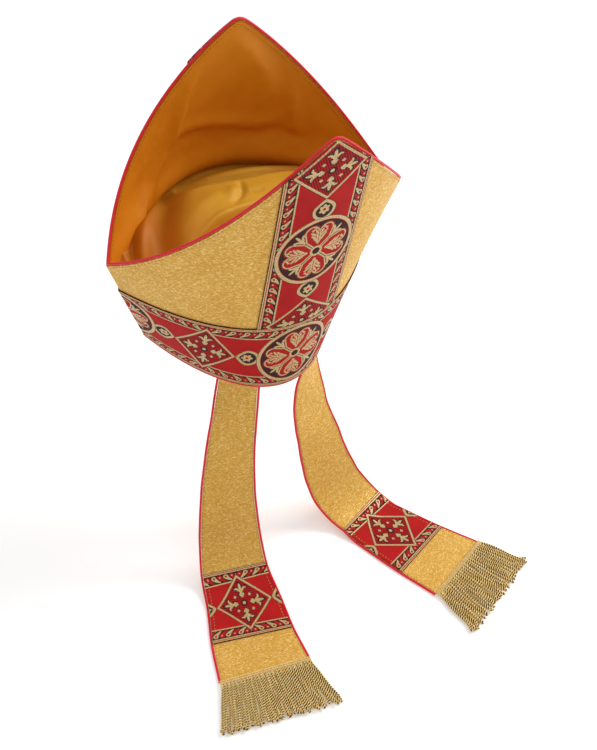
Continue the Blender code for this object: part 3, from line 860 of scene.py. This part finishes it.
def cloth_sheet(name, outer, inner, places, face, back=None):
    """A closed sheet between two grids of points: places is its cut, in metres, for the UV map."""
    rows, columns = outer.shape[:2]
    count = rows * columns
    border = border_of(rows, columns)
    after = np.roll(border, -1)
    rim = np.stack([border, border + count, after + count, after], -1)
    faces = np.concatenate([grid_faces(rows, columns, 0, False), grid_faces(rows, columns, count, True), rim])
    quads = (rows - 1) * (columns - 1)
    slots = np.zeros(len(faces), np.int32)
    slots[quads : 2 * quads] = 1
    points = np.concatenate([outer.reshape(-1, 3), inner.reshape(-1, 3)])
    both = np.concatenate([places.reshape(-1, 2)] * 2)
    return plain_mesh(name, points, faces, both, (face, back or face), slots)


def carried_frames(points, closed):
    """Unit vectors across a path, carried along it without twist."""
    if closed:
        ahead = unit(np.roll(points, -1, 0) - np.roll(points, 1, 0))
    else:
        ahead = unit(np.gradient(points, axis=0))
    side = np.zeros_like(points)
    start = np.cross(ahead[0], (0, 0, 1))
    side[0] = start / np.linalg.norm(start)
    for i in range(1, len(points)):
        side[i] = side[i - 1] - ahead[i] * side[i - 1].dot(ahead[i])
        side[i] /= np.linalg.norm(side[i])
    return side, np.cross(ahead, side)


def round_cord(name, points, diameter, closed, finish):
    """A round cord along a path, with its ends closed unless it is a loop."""
    points = np.asarray(points)
    side, up = carried_frames(points, closed)
    angles = np.linspace(0, 2 * math.pi, PIPING_SIDES, endpoint=False)
    rings = side[:, None] * np.cos(angles)[None, :, None] + up[:, None] * np.sin(angles)[None, :, None]
    rings = points[:, None] + rings * diameter / 2
    steps = np.linalg.norm(np.diff(points, axis=0), axis=1)
    length = np.concatenate([[0], np.cumsum(steps)])
    around = angles * diameter / 2
    places = np.stack(np.broadcast_arrays(length[:, None], around[None]), -1).reshape(-1, 2)
    count, sides = len(points), PIPING_SIDES
    ring = np.arange(count if closed else count - 1)[:, None] * sides
    k = np.arange(sides)[None]
    after = (k + 1) % sides
    ahead = (ring + sides) % (count * sides)
    faces = np.stack([ring + k, ahead + k, ahead + after, ring + after], -1).reshape(-1, 4)
    vertices = rings.reshape(-1, 3)
    if not closed:
        vertices = np.concatenate([vertices, points[[0, -1]]])
        places = np.concatenate([places, [[0, 0], [length[-1], 0]]])
        first, last = count * sides, count * sides + 1
        caps = [[first, int(b), int(a), int(a)] for a, b in zip(range(sides), after[0])]
        tail = (count - 1) * sides
        caps += [[last, tail + int(a), tail + int(b), tail + int(b)] for a, b in zip(range(sides), after[0])]
        return capped_mesh(name, vertices, faces, np.array(caps)[:, :3], places, finish)
    return plain_mesh(name, vertices, faces, places, (finish,), np.zeros(len(faces), np.int32))


def capped_mesh(name, vertices, quads, triangles, places, finish):
    data = bpy.data.meshes.new(name)
    data.from_pydata(vertices.tolist(), [], quads.tolist() + triangles.tolist())
    layer = data.uv_layers.new(name="cloth")
    loops = np.concatenate([quads.ravel(), triangles.ravel()])
    layer.data.foreach_set("uv", places[loops].ravel())
    data.materials.append(finish)
    data.shade_smooth()
    data.set_sharp_from_angle(angle=math.radians(60))
    thing = bpy.data.objects.new(name, data)
    bpy.context.scene.collection.objects.link(thing)
    return thing


def place_piece(piece, slot, *nodes):
    """Puts a piece on the part's one body, in place of the CAD nodes that it stands for."""
    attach(piece, "root")
    if nodes:
        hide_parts(*nodes)
    return piece


# Crown pieces


def panel_grid(horn, setback):
    """Places on the wall from seam to seam and from the rim to the horn's edge, and the cloth's cut."""
    t = np.linspace(-1, 1, PANEL_COLUMNS + 1)[None, :]
    share = np.linspace(0, 1, PANEL_ROWS + 1)[:, None]
    height = share * (horn_edge(horn, t) - setback)
    t, height = np.broadcast_arrays(t, height)
    return t, height, np.stack([arc_along(horn, t, height), height], -1)


def make_panel(horn, brocade, satin):
    t, height, places = panel_grid(horn, 0)
    outer = lean_back(wall_points(horn, t, height, 0))
    inner = lean_back(wall_points(horn, t, height, -PANEL_THICKNESS))
    piece = cloth_sheet(f"{horn.name}_brocade", outer, inner, places, brocade, satin)
    place_piece(piece, "brocade", f"{horn.name}_panel")
    return piece


def lining_inset(horn, t, height):
    """How far the loose lining stands off the wall: it bulges where the crown satin meets it."""
    places = arc_along(horn, t, height) * 1000 * horn.side, height * 1000
    bulge = horn.bulge * np.exp(-(((height - LINING_BULGE_HEIGHT) / LINING_BULGE_REACH) ** 2))
    loose = LINING_LOOSENESS + bulge + creased(-places[0], places[1], LINING_CREASES) / 1000
    from_edge = soft_step(horn_edge(horn, t) - height, 0.004, 0.026)
    return np.maximum(loose, 0) * from_edge * soft_step(height, 0.070, 0.100) * (1 - t**8)


def make_lining(horn, satin):
    t, height, places = panel_grid(horn, LINING_SETBACK)
    inset = lining_inset(horn, t, height)
    outer = lean_back(wall_points(horn, t, height, -PANEL_THICKNESS - GAP - inset))
    inner = lean_back(wall_points(horn, t, height, -WALL_THICKNESS - inset))
    piece = cloth_sheet(f"{horn.name}_satin", outer, inner, places, satin)
    place_piece(piece, "satin", f"{horn.name}_lining")
    return piece


def make_band(horn, braid):
    """The braid round the rim: a medallion is at its middle."""
    t = np.linspace(-1, 1, PANEL_COLUMNS + 1)[None, :]
    height = np.linspace(0, BRAID_WIDTH, BAND_ROWS + 1)[:, None]
    t, height = np.broadcast_arrays(t, height)
    places = np.stack([arc_along(horn, t, height), height - BRAID_WIDTH / 2], -1)
    outer = lean_back(wall_points(horn, t, height, GAP + BRAID_THICKNESS))
    inner = lean_back(wall_points(horn, t, height, GAP))
    piece = cloth_sheet(f"{horn.name}_band_braid", outer, inner, places, braid)
    place_piece(piece, "braid", f"{horn.name}_band")
    return piece


def make_upright(horn, braid):
    """The braid up the middle of a horn, from the band to the horn's edge."""
    low = BRAID_WIDTH + GAP
    offset = np.linspace(-BRAID_WIDTH / 2, BRAID_WIDTH / 2, UPRIGHT_COLUMNS + 1)
    top = horn_edge(horn, arc_place(horn, offset, np.full_like(offset, horn.height)))
    height = low + (top - low)[None, :] * np.linspace(0, 1, UPRIGHT_ROWS + 1)[:, None]
    offset = np.broadcast_to(offset, height.shape)
    t = arc_place(horn, offset, height)
    places = np.stack([height - MEDALLION_HEIGHT, offset], -1)
    outer = lean_back(wall_points(horn, t, height, GAP + BRAID_THICKNESS))
    inner = lean_back(wall_points(horn, t, height, GAP))
    piece = cloth_sheet(f"{horn.name}_upright_braid", outer, inner, places, braid)
    place_piece(piece, "braid", f"{horn.name}_upright_band")
    return piece


def edge_path(horn, t, distance, proud=-WALL_THICKNESS / 2):
    """Points beyond the horn's edge, at this place in the wall's thickness."""
    edge = wall_points(horn, t, horn_edge(horn, t), proud)
    ahead = wall_points(horn, t + SLOPE_STEP, horn_edge(horn, t + SLOPE_STEP), proud)
    out = skin_axes(horn, t, horn_edge(horn, t))[1]
    return edge + unit(horn.side * np.cross(ahead - edge, out)) * distance


def make_horn_piping(piping):
    t = np.linspace(-1, 1, PANEL_COLUMNS + 1)
    t = t * (1 - 0.012 * np.abs(t) ** 40)
    distance = GAP + HORN_PIPING_DIAMETER / 2
    path = np.concatenate([edge_path(BACK, t, distance), edge_path(FRONT, t[::-1], distance)])
    piece = round_cord("horn_edge_piping", lean_back(path), HORN_PIPING_DIAMETER, True, piping)
    return place_piece(piece, "piping", "horn_piping")


def make_rim_piping(piping):
    """A cord under the walls, flush with the band's face."""
    t = np.linspace(-1, 1, PANEL_COLUMNS + 1)[:-1]
    proud = GAP + BRAID_THICKNESS - RIM_PIPING_DIAMETER / 2
    path = np.concatenate([wall_points(BACK, t, 0.0, proud), wall_points(FRONT, -t, 0.0, proud)])
    path[:, 2] = -(GAP + RIM_PIPING_DIAMETER / 2)
    piece = round_cord("rim_edge_piping", lean_back(path), RIM_PIPING_DIAMETER, True, piping)
    return place_piece(piece, "piping", "rim_piping")


def crown_satin_grid():
    """The satin between the horns: it dips at each wall, humps over the head and falls in soft folds."""
    w = np.linspace(-1, 1, CROWN_ROWS + 1)[:, None]
    u = np.linspace(-1, 1, CROWN_COLUMNS + 1)[None]
    across = smooth_curve([f.at for f in CROWN_FOLDS_ACROSS], [f.lift for f in CROWN_FOLDS_ACROSS], w[:, 0])
    along = smooth_curve([f.at for f in CROWN_FOLDS_ALONG], [f.lift for f in CROWN_FOLDS_ALONG], np.abs(u[0]))
    edge = CROWN_SATIN_EDGE - CROWN_SATIN_END_DROP * u**2
    t = u * CROWN_SATIN_REACH
    clear = -(WALL_THICKNESS - LINING_THICKNESS / 2)
    front, back = wall_points(FRONT, t, edge, clear), wall_points(BACK, t, edge, clear)
    grid = front + (back - front) * (w[..., None] + 1) / 2
    grid[..., 2] += CROWN_SATIN_LIFT * across[:, None] * along[None]
    grid[..., 2] += creased(grid[..., 0] * 1000, grid[..., 1] * 1000, CROWN_CREASES) / 1000
    return grid, w, u


def make_crown_satin(satin):
    upper, w, u = crown_satin_grid()
    along = np.gradient(upper, axis=1)
    ahead = np.gradient(upper, axis=0)
    lower = upper - unit(np.cross(along, ahead)) * CROWN_SATIN_THICKNESS
    places = np.stack(np.broadcast_arrays(u * CORNER_HALF_WIDTH, w * CORNER_BACK_DEPTH), -1)
    piece = cloth_sheet("crown_satin", lean_back(upper), lean_back(lower), places, satin)
    place_piece(piece, "satin", "crown_lining")
    return piece


# Lappet pieces


class LappetLine:
    """A lappet's middle line: places, directions and widths by distance along it."""

    def __init__(self, lappet):
        root = self.root()
        start = lappet.route[0].down
        floor = -LAPPET_FALL + LAPPET_PIPING_DIAMETER / 2
        rows = np.array(
            [
                (
                    lappet.side * (root[0] + station.out * lappet.swing),
                    root[1] + station.back * LAPPET_LAY,
                    root[2] + (floor - root[2]) * (station.down - start) / (1 - start),
                    station.turn,
                    station.bow,
                )
                for station in lappet.route
            ]
        )
        knots = np.concatenate([[0], np.cumsum(np.linalg.norm(np.diff(rows[:, :3], axis=0), axis=1))])
        self.rows = smooth_curve(knots, rows, np.linspace(0, knots[-1], ROUTE_SAMPLES))
        self.rows[:, 2] = np.maximum(self.rows[:, 2], floor)
        steps = np.linalg.norm(np.diff(self.rows[:, :3], axis=0), axis=1)
        self.arc = np.concatenate([[0], np.cumsum(steps)])
        self.length = self.arc[-1]
        self.ahead = unit(np.gradient(self.rows[:, :3], axis=0))

    @staticmethod
    def root():
        """Where a lappet's middle starts, inside the back lining just above the rim."""
        t = arc_place(BACK, np.array(LAPPET_ROOT_OFFSET), np.array(LAPPET_ROOT_TUCK))
        inset = WALL_THICKNESS + GAP + LAPPET_PIPING_DIAMETER / 2 + GAP
        return lean_back(wall_points(BACK, t, LAPPET_ROOT_TUCK, -inset))

    def read(self, table, distances):
        return np.stack([np.interp(distances, self.arc, column) for column in table.T], -1)

    def axes(self, distances):
        """Middle points, and unit vectors ahead, across towards +X and out of the outer face."""
        rows = self.read(self.rows, distances)
        ahead = unit(self.read(self.ahead, distances))
        turn = np.radians(rows[..., 3])
        across = np.stack([np.cos(turn), np.sin(turn), np.zeros_like(turn)], -1)
        across = unit(across - ahead * (across * ahead).sum(-1, keepdims=True))
        return rows[..., :3], ahead, across, np.cross(across, ahead), rows[..., 4]

    def half_width(self, distances):
        share = (np.asarray(distances) / self.length) ** LAPPET_FLARE
        return (LAPPET_TOP_WIDTH + (LAPPET_END_WIDTH - LAPPET_TOP_WIDTH) * share) / 2

    def ripple(self, distances, shares):
        """Soft waves across the hanging stretch, which die out at the root and before the braid."""
        braid_start = self.length - LAPPET_PLAIN_END - BRAID_WIDTH
        flattening = soft_step(distances, braid_start - 0.045, braid_start - 0.005)
        room = soft_step(distances, 0.03, 0.09) * (1 - flattening)
        turns = distances[:, None] / LAPPET_RIPPLE_PITCH + 0.17 * np.asarray(shares)[None]
        wave = np.sin(2 * math.pi * turns) + 0.5 * np.sin(2 * math.pi * 1.7 * turns + 1)
        return LAPPET_RIPPLE * room[:, None] * wave

    def points(self, distances, shares, inset, proud):
        """Points by their share of the half width, once inset from the edge, and their height off it."""
        middle, _, across, out, bow = self.axes(distances)
        half = (self.half_width(distances) - inset)[..., None]
        aside = half * np.asarray(shares)[None]
        sag = bow[..., None] * half * np.asarray(shares)[None] ** 2
        height = proud - sag + self.ripple(distances, shares)
        return middle[:, None] + across[:, None] * aside[..., None] + out[:, None] * height[..., None], aside


def lappet_sheet(name, line, distances, columns, low, high, along_cloth, face, back):
    inset = LAPPET_PIPING_DIAMETER + GAP
    shares = np.linspace(-1, 1, columns + 1)
    outer, aside = line.points(distances, shares, inset, high)
    inner, _ = line.points(distances, shares, inset, low)
    places = along_cloth(np.broadcast_to(distances[:, None], aside.shape), aside)
    return cloth_sheet(name, outer, inner, places, face, back)


def make_lappet(lappet, line, finishes):
    name = lappet.name + "_lappet"
    half = LAPPET_THICKNESS / 2
    distances = np.linspace(0, line.length, LAPPET_ROWS + 1)
    strip = lappet_sheet(
        f"{name}_brocade", line, distances, LAPPET_COLUMNS, -half, half,
        lambda d, a: np.stack([a, d], -1), finishes["brocade"], finishes["satin"],
    )
    place_piece(strip, "brocade", name)
    end = line.length - LAPPET_PLAIN_END
    middle = end - BRAID_WIDTH / 2
    rows = np.linspace(end - BRAID_WIDTH, end, BRAID_ROWS + 1)
    low = half + GAP
    band = lappet_sheet(
        f"{name}_woven_braid", line, rows, 2 * LAPPET_COLUMNS, low, low + BRAID_THICKNESS,
        lambda d, a: np.stack([a + REPEAT / 2000, middle - d], -1), finishes["braid"], finishes["braid"],
    )
    place_piece(band, "braid", f"{name}_braid")
    pipings = []
    for edge, share in (("inner", -lappet.side), ("outer", lappet.side)):
        path, _ = line.points(distances, [share], LAPPET_PIPING_DIAMETER / 2, 0)
        cord = round_cord(
            f"{name}_{edge}_cord", path[:, 0], LAPPET_PIPING_DIAMETER, False, finishes["piping"]
        )
        pipings.append(place_piece(cord, "piping", f"{name}_{edge}_piping"))
    return strip, band, pipings


# Sewing and fringe, made by node trees


def node_tree(name, inputs):
    """A geometry tree with these named inputs, and a function that adds and joins its nodes."""
    tree = bpy.data.node_groups.new(name, "GeometryNodeTree")
    tree.is_modifier = True
    tree.interface.new_socket("Path", in_out="INPUT", socket_type="NodeSocketGeometry")
    tree.interface.new_socket("Result", in_out="OUTPUT", socket_type="NodeSocketGeometry")
    for label, kind in inputs:
        tree.interface.new_socket(label, in_out="INPUT", socket_type=kind)
    start, end = tree.nodes.new("NodeGroupInput"), tree.nodes.new("NodeGroupOutput")

    def add(kind, settings=None, **inputs):
        node = tree.nodes.new(kind)
        for key, value in (settings or {}).items():
            setattr(node, key, value)
        for label, value in inputs.items():
            socket = node.inputs[label.replace("_", " ")]
            if isinstance(value, bpy.types.NodeSocket):
                tree.links.new(value, socket)
            else:
                socket.default_value = value
        return node

    return tree, start, end, add


def stitch_tree():
    tree, start, end, add = node_tree(
        "running_stitch",
        (("Pitch", "NodeSocketFloat"), ("Stitch", "NodeSocketVector"), ("Thread", "NodeSocketMaterial")),
    )
    curve = add("GeometryNodeMeshToCurve", Mesh=start.outputs["Path"])
    spaced = add(
        "GeometryNodeResampleCurve", {"mode": "LENGTH"},
        Curve=curve.outputs[0], Length=start.outputs["Pitch"],
    )
    bead = add("GeometryNodeMeshUVSphere", Segments=6, Rings=5, Radius=0.5)
    tangent = add("GeometryNodeInputTangent")
    turn = add("FunctionNodeAlignRotationToVector", {"axis": "X"}, Vector=tangent.outputs[0])
    copies = add(
        "GeometryNodeInstanceOnPoints", Points=spaced.outputs[0], Instance=bead.outputs["Mesh"],
        Rotation=turn.outputs[0], Scale=start.outputs["Stitch"],
    )
    real = add("GeometryNodeRealizeInstances", Geometry=copies.outputs[0])
    done = add("GeometryNodeSetMaterial", Geometry=real.outputs[0], Material=start.outputs["Thread"])
    tree.links.new(done.outputs[0], end.inputs[0])
    return tree


def twisted_cord_tree():
    """Two plies round each other along every line of the path."""
    tree, start, end, add = node_tree(
        "twisted_cord",
        (
            ("Step", "NodeSocketFloat"), ("Ply Radius", "NodeSocketFloat"), ("Twist", "NodeSocketFloat"),
            ("Cord", "NodeSocketMaterial"),
        ),
    )
    curve = add("GeometryNodeMeshToCurve", Mesh=start.outputs["Path"])
    spaced = add(
        "GeometryNodeResampleCurve", {"mode": "LENGTH"},
        Curve=curve.outputs[0], Length=start.outputs["Step"],
    )
    along = add("GeometryNodeSplineParameter")
    twist = add("ShaderNodeMath", {"operation": "MULTIPLY"})
    tree.links.new(along.outputs["Length"], twist.inputs[0])
    tree.links.new(start.outputs["Twist"], twist.inputs[1])
    tilted = add("GeometryNodeSetCurveTilt", Curve=spaced.outputs[0], Tilt=twist.outputs[0])
    ply = add("GeometryNodeCurvePrimitiveCircle", Resolution=6, Radius=start.outputs["Ply Radius"])
    aside = add("ShaderNodeCombineXYZ", X=start.outputs["Ply Radius"])
    other = add("ShaderNodeVectorMath", {"operation": "SCALE"}, Vector=aside.outputs[0], Scale=-1.0)
    plies = add("GeometryNodeJoinGeometry")
    for shift in (aside, other):
        moved = add("GeometryNodeTransform", Geometry=ply.outputs["Curve"], Translation=shift.outputs[0])
        tree.links.new(moved.outputs[0], plies.inputs[0])
    # Crown: how far each point of the plies lies from the cord's axis, as a share of the cord's width; the
    # cord's finish paints shade in the grooves by it.
    from_axis = add("ShaderNodeVectorMath", {"operation": "LENGTH"})
    tree.links.new(add("GeometryNodeInputPosition").outputs[0], from_axis.inputs[0])
    crown = add("ShaderNodeMath", {"operation": "DIVIDE"})
    tree.links.new(from_axis.outputs["Value"], crown.inputs[0])
    ply_width = add("ShaderNodeMath", {"operation": "ADD"})
    for socket in ply_width.inputs[:2]:
        tree.links.new(start.outputs["Ply Radius"], socket)
    tree.links.new(ply_width.outputs[0], crown.inputs[1])
    marked = add(
        "GeometryNodeStoreNamedAttribute", Geometry=plies.outputs[0], Name="crown", Value=crown.outputs[0]
    )
    swept = add(
        "GeometryNodeCurveToMesh", Curve=tilted.outputs[0], Profile_Curve=marked.outputs[0], Fill_Caps=True
    )
    smooth = add("GeometryNodeSetShadeSmooth", Geometry=swept.outputs[0])
    real = add("GeometryNodeRealizeInstances", Geometry=smooth.outputs[0])
    done = add("GeometryNodeSetMaterial", Geometry=real.outputs[0], Material=start.outputs["Cord"])
    tree.links.new(done.outputs[0], end.inputs[0])
    return tree


def grow(name, tree, paths, values):
    """Runs a tree on polylines and gives back its result as a plain mesh object."""
    points, edges = [], []
    for path in paths:
        edges += [(len(points) + k, len(points) + k + 1) for k in range(len(path) - 1)]
        points += [tuple(map(float, point)) for point in path]
    data = bpy.data.meshes.new(name + "_path")
    data.from_pydata(points, edges, [])
    guide = bpy.data.objects.new(name + "_path", data)
    bpy.context.scene.collection.objects.link(guide)
    modifier = guide.modifiers.new("grow", "NODES")
    modifier.node_group = tree
    for item in tree.interface.items_tree:
        if item.in_out == "INPUT" and item.name in values:
            modifier[item.identifier] = values[item.name]
    graph = bpy.context.evaluated_depsgraph_get()
    graph.update()
    grown = bpy.data.meshes.new_from_object(guide.evaluated_get(graph), depsgraph=graph)
    grown.name = name
    bpy.data.objects.remove(guide)
    thing = bpy.data.objects.new(name, grown)
    bpy.context.scene.collection.objects.link(thing)
    return thing


def sew(name, tree, paths, thread, slot):
    stitch = (STITCH_LENGTH, STITCH_THICKNESS, STITCH_THICKNESS)
    values = {"Pitch": STITCH_PITCH, "Stitch": stitch, "Thread": thread}
    return place_piece(grow(name, tree, paths, values), slot)


def make_lappet_stitches(lappet, line, tree, threads):
    """Sewing just inside both pipings: darker on the brocade, light on the braid."""
    braid_end = line.length - LAPPET_PLAIN_END
    braid_start = braid_end - BRAID_WIDTH
    brocade_top = LAPPET_THICKNESS / 2 + STITCH_SINK
    braid_top = LAPPET_THICKNESS / 2 + GAP + BRAID_THICKNESS + STITCH_SINK
    stretches = (
        ("upper", 2 * LAPPET_ROOT_TUCK, braid_start - STITCH_PITCH / 2, brocade_top, "brown", "brocade"),
        ("braid", braid_start + STITCH_PITCH / 2, braid_end - STITCH_PITCH / 2, braid_top, "gold", "braid"),
        ("lower", braid_end + STITCH_PITCH / 2, line.length - STITCH_PITCH, brocade_top, "brown", "brocade"),
    )
    pieces = []
    for name, start, end, top, thread, slot in stretches:
        distances = np.linspace(start, end, 80)
        inset = LAPPET_PIPING_DIAMETER + GAP + (STITCH_INSET if slot == "braid" else FACE_STITCH_INSET / 2)
        paths = [line.points(distances, [side], inset, top)[0][:, 0] for side in (-1, 1)]
        pieces.append(sew(f"{lappet.name}_lappet_{name}_stitches", tree, paths, threads[thread], slot))
    return pieces


def make_horn_stitches(horn, tree, threads):
    """Top-stitching just inside the horn's edge, on the satin and on the outer face."""
    t = np.linspace(-0.97, 0.97, 260)
    satin = edge_path(horn, t, -STITCH_INSET, -WALL_THICKNESS - STITCH_SINK)
    sew(f"{horn.name}_satin_stitches", tree, [lean_back(satin)], threads["orange"], "satin")
    on_braid = np.abs(arc_along(horn, t, horn_edge(horn, t))) < BRAID_WIDTH / 2
    for name, keep, proud in (
        ("left", ~on_braid & (t > 0), STITCH_SINK),
        ("right", ~on_braid & (t < 0), STITCH_SINK),
        ("middle", on_braid, GAP + BRAID_THICKNESS + STITCH_SINK),
    ):
        face = edge_path(horn, t[keep], -FACE_STITCH_INSET, proud)
        sew(f"{horn.name}_{name}_face_stitches", tree, [lean_back(face)], threads["brown"], "brocade")


def fringe_lines(lappet, line):
    """Middle lines of the hanging cords and of the header's cords, on the level where they lie."""
    rng = np.random.default_rng(lappet.seed)
    middle, ahead, across, _, _ = (value[0] for value in line.axes(np.array([line.length])))
    middle = middle + ahead * GAP
    half = line.half_width(line.length)
    cord = 2 * FRINGE_PLY_DIAMETER
    ahead = unit(ahead * (1, 1, 0))
    sway = unit(ahead + across * lappet.sway)
    start = FRINGE_HEADER_DEPTH * 0.6
    hanging, header = [], []
    along = np.linspace(0, 1, 20)
    for layer in range(FRINGE_LAYERS):
        for k in range(FRINGE_CORDS):
            place = (k + 0.5 * (layer % 2) + 0.25) / FRINGE_CORDS
            share = 2 * place - 1 + rng.normal(0, 0.004)
            reach = (FRINGE_LENGTH - start) * (1 - 0.08 * rng.random() - 0.03 * (FRINGE_LAYERS - 1 - layer))
            drift, wobble = rng.normal(0, 0.0011), rng.normal(0, 0.0006)
            foot = middle + ahead * start + across * share * (half - cord / 2)
            points = foot + sway * (along * reach)[:, None]
            curl = FRINGE_CURL * rng.choice((-1, 1)) * rng.random() * soft_step(along, 0.88, 1)
            aside = share * half * FRINGE_SPLAY * along
            aside = aside + drift * along**2 + wobble * np.sin(along * 7 + k) + curl
            points = points + across * aside[:, None]
            lift = FRINGE_PLY_DIAMETER + layer * cord * 0.42 * (1 - 0.3 * along)
            points[:, 2] = -LAPPET_FALL + lift + 0.0004 * np.sin(along * 6 + 2.4 * k) * along
            hanging.append(points)
    shares = np.linspace(-1, 1, 24)
    for k in range(HEADER_CORDS):
        depth = (k + 0.5) / HEADER_CORDS * FRINGE_HEADER_DEPTH
        points = middle + ahead * depth + across * (shares * (half - cord / 4))[:, None]
        points[:, 2] = -LAPPET_FALL + 0.0036
        header.append(points)
    return hanging, header


def make_fringe(lappet, line, tree, bullion, header_gold):
    hanging, header = fringe_lines(lappet, line)
    twist = 2 * math.pi / FRINGE_TWIST_PITCH
    values = {"Step": 0.0006, "Ply Radius": FRINGE_PLY_DIAMETER / 2, "Twist": twist, "Cord": bullion}
    cords = grow(f"{lappet.name}_fringe_cords", tree, hanging, values)
    place_piece(cords, "bullion", f"{lappet.name}_fringe")
    ply_radius = FRINGE_HEADER_DEPTH / HEADER_CORDS / 3.6
    values = {"Step": 0.0004, "Ply Radius": ply_radius, "Twist": -1.6 * twist, "Cord": header_gold}
    heads = grow(f"{lappet.name}_fringe_header", tree, header, values)
    place_piece(heads, "bullion")
    return cords, heads


# Room


def make_room():
    low = CAD_BOX[0].z - FLOOR_DROP
    half = FLOOR_SIZE / 2
    corners = np.array([(-half, -half, low), (half, -half, low), (half, half, low), (-half, half, low)])
    data = bpy.data.meshes.new("floor")
    data.from_pydata(corners.tolist(), [], [(0, 1, 2, 3)])
    data.materials.append(floor_finish())
    floor = bpy.data.objects.new("floor", data)
    bpy.context.scene.collection.objects.link(floor)
    make_sky()
    bpy.context.scene.view_settings.view_transform = "Standard"


def make_sky():
    """White light from all round, stronger from above."""
    world = bpy.data.worlds.new("soft_room")
    world.use_nodes = True
    nodes, links = world.node_tree.nodes, world.node_tree.links
    way = nodes.new("ShaderNodeTexCoord")
    split = nodes.new("ShaderNodeSeparateXYZ")
    rise = nodes.new("ShaderNodeMapRange")
    rise.interpolation_type = "SMOOTHSTEP"
    rise.inputs["To Min"].default_value, rise.inputs["To Max"].default_value = SKY_HORIZON, SKY_TOP
    links.new(way.outputs["Generated"], split.inputs[0])
    links.new(split.outputs[2], rise.inputs["Value"])
    links.new(rise.outputs[0], nodes["Background"].inputs["Strength"])
    nodes["Background"].inputs["Color"].default_value = (1, 1, 1, 1)
    bpy.context.scene.world = world


def softbox(name, place, aim, size, power):
    data = bpy.data.lights.new(name, "AREA")
    data.shape = "RECTANGLE"
    data.size, data.size_y = size
    data.energy = power
    light = bpy.data.objects.new(name, data)
    light.location = place
    light.rotation_euler = (Vector(aim) - Vector(place)).to_track_quat("-Z", "Y").to_euler()
    bpy.context.scene.collection.objects.link(light)


def make_lights():
    softbox("key_softbox", KEY_PLACE, KEY_AIM, KEY_SIZE, KEY_POWER)


def make_camera():
    data = bpy.data.cameras.new("photo_view")
    data.lens, data.sensor_width = CAMERA_LENS, CAMERA_SENSOR
    camera = bpy.data.objects.new("photo_view", data)
    camera.location = CAMERA_PLACE
    camera.rotation_euler = (Vector(CAMERA_AIM) - Vector(CAMERA_PLACE)).to_track_quat("-Z", "Y").to_euler()
    bpy.context.scene.collection.objects.link(camera)
    bpy.context.scene.camera = camera


def make_mitre():
    finishes = {
        "brocade": brocade_finish(),
        "braid": braid_finish(),
        "satin": satin_finish("gold_satin", linear(217, 134, 22), linear(225, 144, 30), 0.15),
        # The crown's satin is a paler, yellower copy of the lining satin: painted light where light falls on
        # its hump. Its sides take more painted shade.
        "lit_satin": satin_finish("lit_gold_satin", linear(202, 150, 42), linear(211, 161, 52), 0.85),
        "piping": piping_finish(),
        # The number is how far out from the cord's axis the painted groove shade reaches; the header's cords
        # get less of it, so they show paler.
        "bullion": bullion_finish("gold_bullion", 0.62),
        "header": bullion_finish("lightly_shaded_bullion", 0.3),
    }
    threads = {
        "gold": thread_finish("gold_thread", linear(226, 190, 104)),
        "orange": thread_finish("orange_thread", linear(150, 78, 10)),
        "brown": thread_finish("brown_thread", linear(150, 104, 44)),
    }
    stitches, cords = stitch_tree(), twisted_cord_tree()
    for horn in (BACK, FRONT):
        make_panel(horn, finishes["brocade"], finishes["satin"])
        make_lining(horn, finishes["satin"])
        make_band(horn, finishes["braid"])
        make_upright(horn, finishes["braid"])
        make_horn_stitches(horn, stitches, threads)
    make_crown_satin(finishes["lit_satin"])
    make_horn_piping(finishes["piping"])
    make_rim_piping(finishes["piping"])
    for lappet in LAPPETS:
        line = LappetLine(lappet)
        strip, band, pipings = make_lappet(lappet, line, finishes)
        sewing = make_lappet_stitches(lappet, line, stitches, threads)
        cords_piece, header = make_fringe(lappet, line, cords, finishes["bullion"], finishes["header"])


make_room()
make_lights()
make_camera()
make_mitre()
